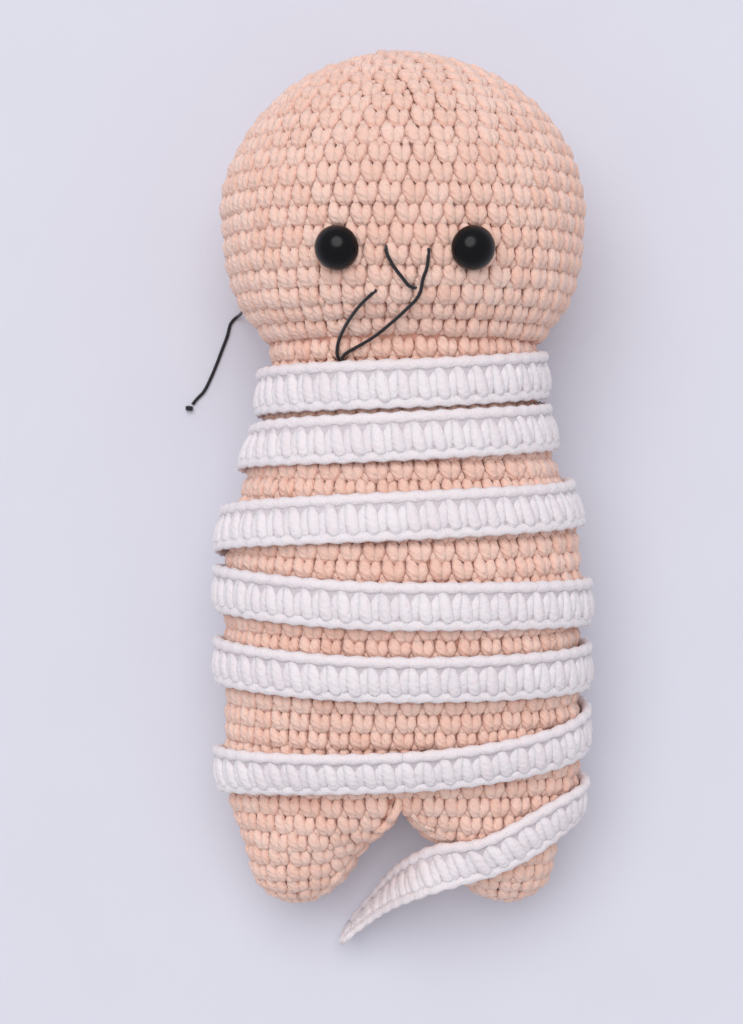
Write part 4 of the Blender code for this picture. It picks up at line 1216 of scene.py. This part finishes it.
def eye_profile():
    """Radius and height of each ring, from the post's end over the flat back and the rim to the dome."""
    rim, dome = np.linspace(0, math.pi / 2, RIM_RINGS), np.linspace(0, math.pi / 2, EYE_RINGS + 1)[1:-1]
    return [
        (POST_RADIUS - POST_BEVEL[0], POST_END), (POST_RADIUS, POST_END + POST_BEVEL[1]),
        (POST_RADIUS, BACK_HEIGHT), (BACK_RADIUS, BACK_HEIGHT),
        *zip(EYE_RADIUS - EYE_RIM * (1 - np.sin(rim)), RIM_HEIGHT - EYE_RIM * np.cos(rim)),
        *zip(EYE_RADIUS * np.cos(dome), RIM_HEIGHT + DOME_HEIGHT * np.sin(dome)),
    ]


def eye_mesh(name, seat, axis):
    """A dome turned about the eye's axis, with its post behind it."""
    across, up, out = np.array(Vector(axis).to_track_quat("Z", "Y").to_matrix()).T
    rings = [ring_at(seat + out * height, across * radius, up * radius, EYE_SIDES) for radius, height in eye_profile()]
    return ring_mesh(name, [(rings, None)], [seat + out * height for height in (POST_END, RIM_HEIGHT + DOME_HEIGHT)])


joints = {joint["name"]: joint for joint in frame["joints"]}
for eye in ("left_eye", "right_eye"):
    joint = joints[eye + "_spin"]
    dome = add_piece(eye + "_dome", eye_mesh(eye + "_dome", np.array(joint["pos_m"]), joint["axis"]), BLACK_PLASTIC)
    fasten(dome, eye, eye)
    print(dome.name, "sits at", joint["pos_m"])

# %% [markdown]
# The washers sit behind the fabric. They keep their packed form and get the look of milky moulded nylon.

# %% Washers
WASHER_NYLON, shader = new_material("washer_nylon", (226, 226, 220), Roughness=0.45, Subsurface_Weight=0.2)
tint(shader, noise(shader, scale=300.0), (214, 214, 206), (232, 232, 228))
for side in ("left", "right"):
    washer = frame["nodes"][side + "_eye_washer"]
    washer.data.materials.clear()
    washer.data.materials.append(WASHER_NYLON)
    print(washer.name, "is", WASHER_NYLON.name)

# %% [markdown]
# Three loose stitches of thread lie on the face. They follow the head's surface, a little above the crests of
# the yarn.

# %% Threads on the face
FACE_THREADS = {
    "face_thread_upper": (
        (-0.0041, 0.1516), (-0.0039, 0.1502), (-0.0023, 0.1474), (-0.0004, 0.1450), (0.0011, 0.1433),
        (0.0026, 0.1427),
    ),
    "face_thread_lower_left": (
        (0.0053, 0.1512), (0.0048, 0.1476), (0.0039, 0.1450), (0.0034, 0.1424), (0.0024, 0.1407),
        (0.0004, 0.1389), (-0.0026, 0.1363), (-0.0066, 0.1332), (-0.0103, 0.1307), (-0.0131, 0.1290),
        (-0.0142, 0.1276),
    ),
    "face_thread_lower_right": (
        (-0.0063, 0.1422), (-0.0081, 0.1411), (-0.0105, 0.1389), (-0.0127, 0.1359), (-0.0139, 0.1337),
        (-0.0145, 0.1315), (-0.0147, 0.1290), (-0.0146, 0.1276),
    ),
}
THREAD_LIFT = 0.0008
END_DIVE = 0.0014


def face_route(points):
    """Points over the face, with both ends going in between the stitches."""
    x, y = np.array(points).T
    place, facing, _ = frames(skin, np.arccos(x / head_section(y)[0]), y)
    lift = np.full((len(x), 1), THREAD_LIFT)
    lift[[0, -1]] -= END_DIVE
    return to_world(place + facing * lift)


for node, points in FACE_THREADS.items():
    mesh, route = thread_mesh(node + "_yarn", face_route(points))
    fasten(add_piece(node + "_yarn", mesh, BLACK_THREAD), "head", node)
    print(f"{node}: {walked(route)[-1] * 1000:.1f} mm")

# %% [markdown]
# The table is plain and pale, with a cool tint. Its colour carries the tone of the backdrop, so the light can
# stay at a level that shows the yarn's own colours.

# %% Table
TABLE_REACH = 3.0

TABLE_PAINT, shader = new_material("table_paint", (214, 213, 224), Roughness=0.6)
tint(shader, noise(shader, scale=40.0, detail=3.0), (212, 211, 222), (216, 215, 226))
corners = [(x * TABLE_REACH, y * TABLE_REACH, 0.0) for x, y in ((-1, -1), (1, -1), (1, 1), (-1, 1))]
table = bpy.data.meshes.new("table")
table.from_pydata(corners, [], [(0, 1, 2, 3)])
add_piece("table", table, TABLE_PAINT)
print(f"table: {2 * TABLE_REACH:.0f} m square")

# %% [markdown]
# Soft daylight falls from above, a little from the crown's side. An area lamp near the doll would leave the far
# table dark, so a sun with a very wide disc gives the same soft shadows everywhere, and the world fills them.

# %% Light
WORLD_STRENGTH = 0.60
WORLD_COLOUR = (0.93, 0.95, 1.0, 1.0)
BACKDROP_COLOUR = (221, 221, 234)
SUN_WAY = (-0.15, 0.44, 1.15)
SUN_SPREAD = math.radians(48)
SUN_STRENGTH = 1.68

world = bpy.data.worlds.new("daylight")
world.use_nodes = True
sky = world.node_tree
daylight = set_up(sky.nodes["Background"], Color=WORLD_COLOUR, Strength=WORLD_STRENGTH)
backdrop = add_node(sky, "ShaderNodeBackground", Color=linear(*BACKDROP_COLOUR))
seen = add_node(sky, "ShaderNodeLightPath").outputs["Is Camera Ray"]
choice = add_node(sky, "ShaderNodeMixShader", Fac=seen)
feed(choice.inputs[1], daylight.outputs["Background"])
feed(choice.inputs[2], backdrop.outputs["Background"])
feed(sky.nodes["World Output"].inputs["Surface"], choice.outputs["Shader"])
bpy.context.scene.world = world

window_data = bpy.data.lights.new("window", "SUN")
window_data.energy = SUN_STRENGTH
window_data.angle = SUN_SPREAD
window = add_piece("window", window_data)
window.rotation_euler = (-Vector(SUN_WAY)).to_track_quat("-Z", "Y").to_euler()
bpy.context.scene.view_settings.view_transform = "Standard"
print(f"sun {SUN_STRENGTH}, {math.degrees(SUN_SPREAD):.0f} degrees wide, world {WORLD_STRENGTH}")
